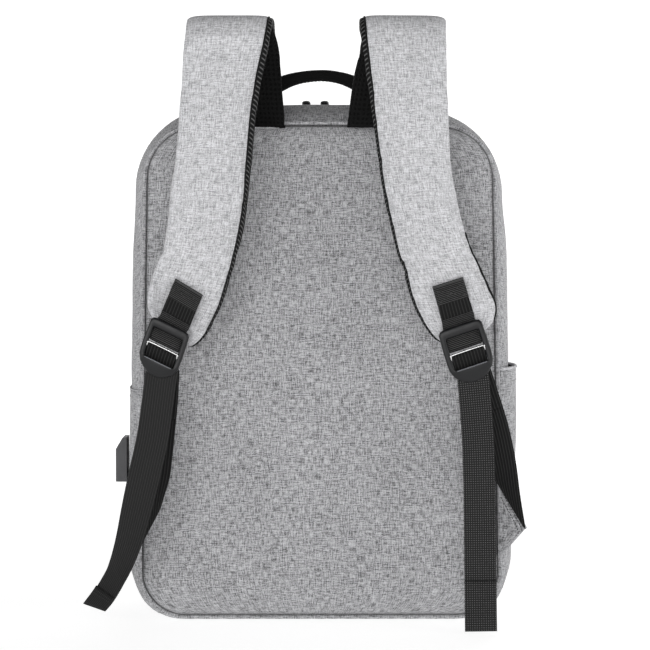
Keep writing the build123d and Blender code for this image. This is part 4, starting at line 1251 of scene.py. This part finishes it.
for side, sign in (("left", -1), ("right", 1)):
    places = ((59.0, 421.2), (64.0, 420.4), (72.0, 419.6), (82.0, 418.6))
    line = smooth_line([(sign * x, PATCH_Y, z) for x, z in places], 24)
    wall = wall_line(PATCH_Y, 1.2)
    wall = wall[wall[:, 0] * sign > 0]
    wall = wall[np.argsort(np.abs(wall[:, 0]))]
    line[:, 2] = np.interp(np.abs(line[:, 0]), np.abs(wall[:, 0]), wall[:, 2]) + 0.9
    patch = strip(
        f"handle_patch_{side}", line, (0, WEB_HALF, 0), 1.8, tab_webbing, "tub"
    )
    if side == "left":
        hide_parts("handle_patches")
    slope = unit(line[-1] - line[0])
    middle = line[13] + np.array([0.0, 0.0, 1.0])
    patch_lines += box_stitch(middle, slope, np.array([0.0, 1.0, 0.0]), 16.0, 20.0)
stitches("handle_patch_stitching", patch_lines, thread_black, "tub", "webbing", **FINE_THREAD)

# ---- side pockets
SIDE_ROWS = slice(N_BASE, N_BASE + N_ARC - 1 + N_LOW + N_SIDE)


def side_x(y, z, grow):
    """Half width of the bag's wall at depth y and height z, in mm."""
    right = outline(y, grow)[SIDE_ROWS]
    return np.interp(z, right[:, 1], right[:, 0])


SIDE_DEPTHS = (-60.4, 12.0)
SIDE_COLS = 44
SIDE_LOW = 5.0


def side_patch(sign, z_low, z_high, grow, rows=60, cols=SIDE_COLS):
    """Grid over a side wall; grow(share across, share up) is how far it stands off, in mm."""
    points = np.zeros((rows, cols, 3))
    for j, y in enumerate(np.linspace(*SIDE_DEPTHS, cols)):
        for i, z in enumerate(np.linspace(z_low, z_high, rows)):
            share_y, share_z = j / (cols - 1), i / (rows - 1)
            off = grow(share_y, share_z)
            points[i, j] = (sign * (side_x(y, z, 0.0) + off), y, z)
    return points


def pocket_grow(share_y, share_z):
    arch = math.sin(math.pi * share_y) ** 0.6
    pleat = 0.35 * math.sin(share_y * 44.0) * share_z**6
    full = min(1.0, max(0.0, share_z - 0.22) / 0.6)
    return 1.0 + arch * (5.6 * full * full * (3 - 2 * full) + pleat)


pocket = side_patch(1, SIDE_LOW, 204.5, pocket_grow)
pocket[:, :, 0] += ripple(pocket * MM, 26.0, 0.7, 12) * np.sin(np.linspace(0, math.pi, SIDE_COLS))[None]
pocket_piece = grid_piece(
    "side_pocket_cloth", pocket * MM, body_cloth, "tub", toward=(1, 0, 0)
)
thicken(pocket_piece, 1.2, lining_cloth)
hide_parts("side_pocket_right")
hem_line = pocket[-1] + np.array([-0.3, 0.0, 0.8])
tube("side_pocket_hem", hem_line, 1.3, hem_cloth, "tub", 10)
stitches(
    "side_pocket_stitching", [pocket[-4] + np.array([0.25, 0, 0])], thread_grey, "tub", "body_fabric"
)
flat_patch = side_patch(-1, SIDE_LOW, 187.0, lambda a, b: 1.3 - 0.8 * abs(2 * a - 1) ** 8)
patch_piece = grid_piece(
    "side_patch_cloth", flat_patch * MM, body_cloth, "tub", toward=(-1, 0, 0)
)
thicken(patch_piece, 1.2)
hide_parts("side_pocket_left")
tube(
    "side_patch_hem", flat_patch[-1] + np.array([0.4, 0, 0.4]), 0.7, body_cloth, "tub", 10
)
stitches(
    "side_patch_stitching", [flat_patch[-3] + np.array([-0.25, 0, 0])], thread_grey, "tub", "body_fabric"
)

# ---- front pocket
POCKET_HALF, ZIP_HALF = 112.0, 102.0
POCKET_LOW, POCKET_HIGH, POCKET_CORNER = 82.0, 212.0, 12.0
ZIP_LOW, ZIP_HIGH = 196.0, 207.0
POCKET_FACE_Y = 68.4
ZIP_Y = 68.0
POCKET_EDGE_Y = 62.6
ZIP_Z = (ZIP_LOW + ZIP_HIGH) / 2
POCKET_SLIDER_X = 92.0
POCKET_PULL_Y = 72.5

z_rows = np.concatenate(
    [
        POCKET_LOW + np.array([0, 0.6, 1.4, 2.4, 4.0, 6.0, 9.0, 12.0]),
        np.linspace(98.0, ZIP_LOW - 2.0, 44),
        [ZIP_LOW - 0.8, ZIP_LOW, ZIP_HIGH, ZIP_HIGH + 0.8, 209.0, 210.4, 211.4, POCKET_HIGH],
    ]
)
x_side = np.array([ZIP_HALF + 1, 105.0, 107.5, 109.5, 111.0, POCKET_HALF])
x_cols = np.concatenate([-x_side[::-1], np.linspace(-ZIP_HALF, ZIP_HALF, 80), x_side])
above = np.minimum(z_rows - POCKET_LOW, POCKET_HIGH - z_rows)
corner = np.where(
    above < POCKET_CORNER,
    POCKET_CORNER - np.sqrt(np.clip(POCKET_CORNER**2 - (POCKET_CORNER - above) ** 2, 0, None)),
    0.0,
)
beside_zip = np.clip(np.abs(x_cols) - ZIP_HALF, 0, None) / (POCKET_HALF - ZIP_HALF)
beside_zip = beside_zip[None] * (POCKET_HALF - corner - ZIP_HALF)[:, None]
grid_x = np.sign(x_cols)[None] * (np.minimum(np.abs(x_cols), ZIP_HALF)[None] + beside_zip)
grid_z = np.broadcast_to(z_rows[:, None], grid_x.shape)
edge = np.minimum((POCKET_HALF - corner)[:, None] - np.abs(grid_x), above[:, None])
height = 1 - np.exp(-np.clip(edge, 0, None) / 2.2)
flat = np.stack([grid_x, np.zeros_like(grid_x), grid_z], 2) * MM
soft = ripple(flat, 16.0, 0.5, 21) * height
grid_y = POCKET_EDGE_Y + (POCKET_FACE_Y - POCKET_EDGE_Y) * height + soft
front = np.stack([grid_x, grid_y, grid_z], 2)


def outside_zip(i, j):
    inside = ZIP_LOW - 0.1 < z_rows[i] and z_rows[i + 1] < ZIP_HIGH + 0.1
    return not (inside and abs(x_cols[j]) <= ZIP_HALF + 0.1 and abs(x_cols[j + 1]) <= ZIP_HALF + 0.1)


front_piece = grid_piece(
    "front_pocket_cloth", front * MM, body_cloth, "lid", keep=outside_zip, toward=(0, 1, 0)
)
thicken(front_piece, 1.2, lining_cloth)
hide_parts("front_pocket")
zip_line = np.stack([np.linspace(-ZIP_HALF, ZIP_HALF, 60), np.full(60, ZIP_Y), np.full(60, ZIP_Z)], 1)
tape = np.array([zip_line + np.array([0.0, -0.9, dz]) for dz in (-7.0, 0.0, 7.0)])
tape_piece = grid_piece("pocket_zip_tape", tape * MM, zip_cloth, "lid", toward=(0, 1, 0))
thicken(tape_piece, 0.7)
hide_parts("pocket_zip")
tube("pocket_zip_coil", helix(zip_line, 0.9, 1.9), 0.4, coil_nylon, "lid", 4)
slider_place = (POCKET_SLIDER_X, 70.4, ZIP_Z)
slider = soft_box(
    "pocket_slider_plate", slider_place, (9.0, 2.6, 7.0), dark_metal, "pocket_slider", 0.5
)
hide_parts("pocket_slider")
arch = [(70.8, 198.4), (73.8, 199.0), (74.4, ZIP_Z), (73.6, 203.8), (70.8, 204.4)]
bridge = smooth_line([(POCKET_SLIDER_X, y, z) for y, z in arch], 14)
strip("pocket_slider_bridge", bridge, (1.6, 0, 0), 0.8, dark_metal, "pocket_slider")
pull_place = (POCKET_SLIDER_X, POCKET_PULL_Y, 184.0)
grip = soft_box(
    "pocket_pull_grip", pull_place, (6.2, 2.2, 20.0), dark_metal, "pocket_pull", 0.55
)
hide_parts("pocket_pull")
loop = [(-EYE_HALF, 193.5), (-EYE_HALF, 199.2), (0.0, 200.6), (EYE_HALF, 199.2), (EYE_HALF, 193.5)]
ring = [(POCKET_SLIDER_X + x, POCKET_PULL_Y, z) for x, z in loop]
tube("pocket_pull_ring", smooth_line(ring, 20), 0.5, dark_metal, "pocket_pull", 8)

# ---- solar panel
BORDER_HALF, BORDER_LOW, BORDER_HIGH = 97.0, 219.0, 383.0
BORDER_Y = 65.2
border_rows = []
for inset in (2.0, 5.0):
    x = BORDER_HALF - inset
    z_low = BORDER_LOW + inset
    z_high = BORDER_HIGH - inset
    corners = [(-x, z_low), (x, z_low), (x, z_high), (-x, z_high), (-x, z_low)]
    corners = [(a, BORDER_Y, b) for a, b in corners]
    border_rows += [[a, b] for a, b in zip(corners[:-1], corners[1:])]
stitches("solar_border_stitching", border_rows, thread_grey, "lid", "border_fabric")

# ---- laptop sleeve
SLEEVE_HALF, SLEEVE_LOW, SLEEVE_HIGH = 125.0, 14.0, 300.0
right_plan = [(112.0, -34.4), (121.0, -35.5), (SLEEVE_HALF, -42.0), (SLEEVE_HALF, -54.5)]
plan = smooth_line([(-x, y) for x, y in right_plan[::-1]] + [(0.0, -33.6)] + right_plan, 120)
heights = np.linspace(SLEEVE_LOW, SLEEVE_HIGH, 60)
sleeve = np.zeros((60, 120, 3))
sleeve[:, :, :2] = plan
sleeve[:, :, 2] = heights[:, None]
loose = np.clip((SLEEVE_HALF - np.abs(plan[:, 0])) / 20.0, 0, 1)
sleeve[:, :, 1] -= ripple(sleeve * MM, 12.0, 1.0, 31) * loose[None]
sleeve_piece = grid_piece(
    "laptop_sleeve_cloth", sleeve * MM, lining_cloth, "tub", toward=(0, 1, 0)
)
thicken(sleeve_piece, 2.4)
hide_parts("laptop_sleeve")
tube(
    "laptop_sleeve_binding", sleeve[-1] + np.array([0.0, -1.2, 0.0]), 1.9, zip_cloth, "tub", 10
)

# ---- carried-over nodes
def cell_material():
    """Dark blue silicon cells with silver bars and fine fingers."""
    material, g = new_material("silicon_cell")
    place = g.add("ShaderNodeTexCoord", out=3)
    fingers = g.add("ShaderNodeTexWave", out=1, Vector=place, Scale=120.0, bands_direction="Z")
    bars = g.add("ShaderNodeTexWave", out=1, Vector=place, Scale=15.7, bands_direction="X")
    line = g.ramp(fingers, [(0.90, grey(0.0)), (0.97, grey(1.0))])
    bar = g.ramp(bars, [(0.985, grey(0.0)), (0.995, grey(1.0))])
    cloud = g.noise(place, scale=30.0, detail=3.0)
    silicon = g.ramp(cloud, [(0.3, (0.008, 0.012, 0.030, 1.0)), (0.8, (0.014, 0.022, 0.055, 1.0))])
    colour = g.mix(g.math("MULTIPLY", line, 0.35), silicon, grey(0.30))
    colour = g.mix(bar, colour, grey(0.55))
    close_material(g, colour, 0.18, None, **{"Coat Weight": 0.6, "Coat Roughness": 0.06})
    return material


film = moulded("solar_film", grey(0.010), 0.22, 0.05, **{"Coat Weight": 0.5, "Coat Roughness": 0.1})
border_cloth = webbing("border_cloth", 0.02, 0.05, ribs=700.0, cross=700.0)
NODE_FINISH = {
    "usb_housing": usb_plastic, "usb_socket_shell": socket_metal, "usb_tongue": usb_plastic,
    "usb_inner_gland": usb_plastic, "solar_laminate": film, "solar_cells": cell_material(),
    "solar_border": border_cloth, "solar_grommets": socket_metal, "junction_box": usb_plastic,
}
ROUNDED = {
    "usb_housing": 0.8, "junction_box": 1.0, "solar_border": 0.5, "usb_tongue": 0.15,
    "solar_grommets": 0.3
}
for node, finish in NODE_FINISH.items():
    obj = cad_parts[node]
    for spot in obj.material_slots:
        spot.link = "OBJECT"
        spot.material = finish
    if node in ROUNDED:
        bevel = obj.modifiers.new("rounding", "BEVEL")
        bevel.width = ROUNDED[node] * MM
        bevel.segments = 3
        bevel.limit_method = "ANGLE"
        bevel.angle_limit = math.radians(40.0)

# ---- stage and light
floor_material, g = new_material("pale_floor")
far = g.add("ShaderNodeVectorMath", out=1, operation="LENGTH", i0=g.add("ShaderNodeNewGeometry"))
glow = g.ramp(g.math("MULTIPLY", far, 0.5), [(0.15, grey(0.80)), (0.6, grey(1.0))])
close_material(g, grey(0.40), 0.9, **{"Emission Color": glow, "Emission Strength": 1.0})
floor_mesh = bpy.data.meshes.new("floor")
floor_mesh.from_pydata([(-30, -30, 0), (30, -30, 0), (30, 30, 0), (-30, 30, 0)], [], [(0, 1, 2, 3)])
floor = bpy.data.objects.new("floor", floor_mesh)
bpy.context.scene.collection.objects.link(floor)
floor_mesh.materials.append(floor_material)

# Light from the horizon, how much less comes from above, and how much brighter it looks than it lights.
SKY_LEVEL, SKY_FADE, SEEN_LIFT = 0.342, 0.27, 0.9
world = bpy.data.worlds.new("studio")
bpy.context.scene.world = world
world.use_nodes = True
w = Graph(world.node_tree)
seen = w.add("ShaderNodeLightPath", out=0)
height = w.add("ShaderNodeSeparateXYZ", out=2, Vector=w.add("ShaderNodeTexCoord", out=0))
dim = w.math("MULTIPLY", w.math("MAXIMUM", height, 0.0), SKY_FADE)
level = w.math("ADD", w.math("MULTIPLY", seen, SEEN_LIFT), w.math("SUBTRACT", SKY_LEVEL, dim))
sky = w.add("ShaderNodeBackground", Color=grey(1.0), Strength=level)
end = world.node_tree.nodes.new("ShaderNodeOutputWorld")
world.node_tree.links.new(sky, end.inputs[0])


def softbox(name, place, aim_z, size, power):
    """A soft rectangular studio light turned toward the bag's middle at this height."""
    data = bpy.data.lights.new(name, "AREA")
    data.shape = "RECTANGLE"
    data.size, data.size_y = size
    data.energy = power
    lamp = bpy.data.objects.new(name, data)
    lamp.location = place
    lamp.rotation_euler = (Vector((0, 0, aim_z)) - Vector(place)).to_track_quat("-Z", "Y").to_euler()
    bpy.context.scene.collection.objects.link(lamp)


# Place, height that it aims at, size and power of each light.
softbox("front_box", (-0.5, -2.4, 0.6), 0.22, (2.2, 1.0), 24.0)
softbox("front_fill", (1.9, -0.9, 0.6), 0.22, (1.2, 1.2), 14.0)
softbox("left_fill", (-1.9, -0.9, 0.5), 0.18, (1.0, 1.0), 6.0)
softbox("rear_box", (0.6, 2.4, 1.0), 0.22, (2.2, 1.6), 30.0)
softbox("side_box", (2.4, 0.6, 0.8), 0.22, (1.4, 1.4), 8.0)
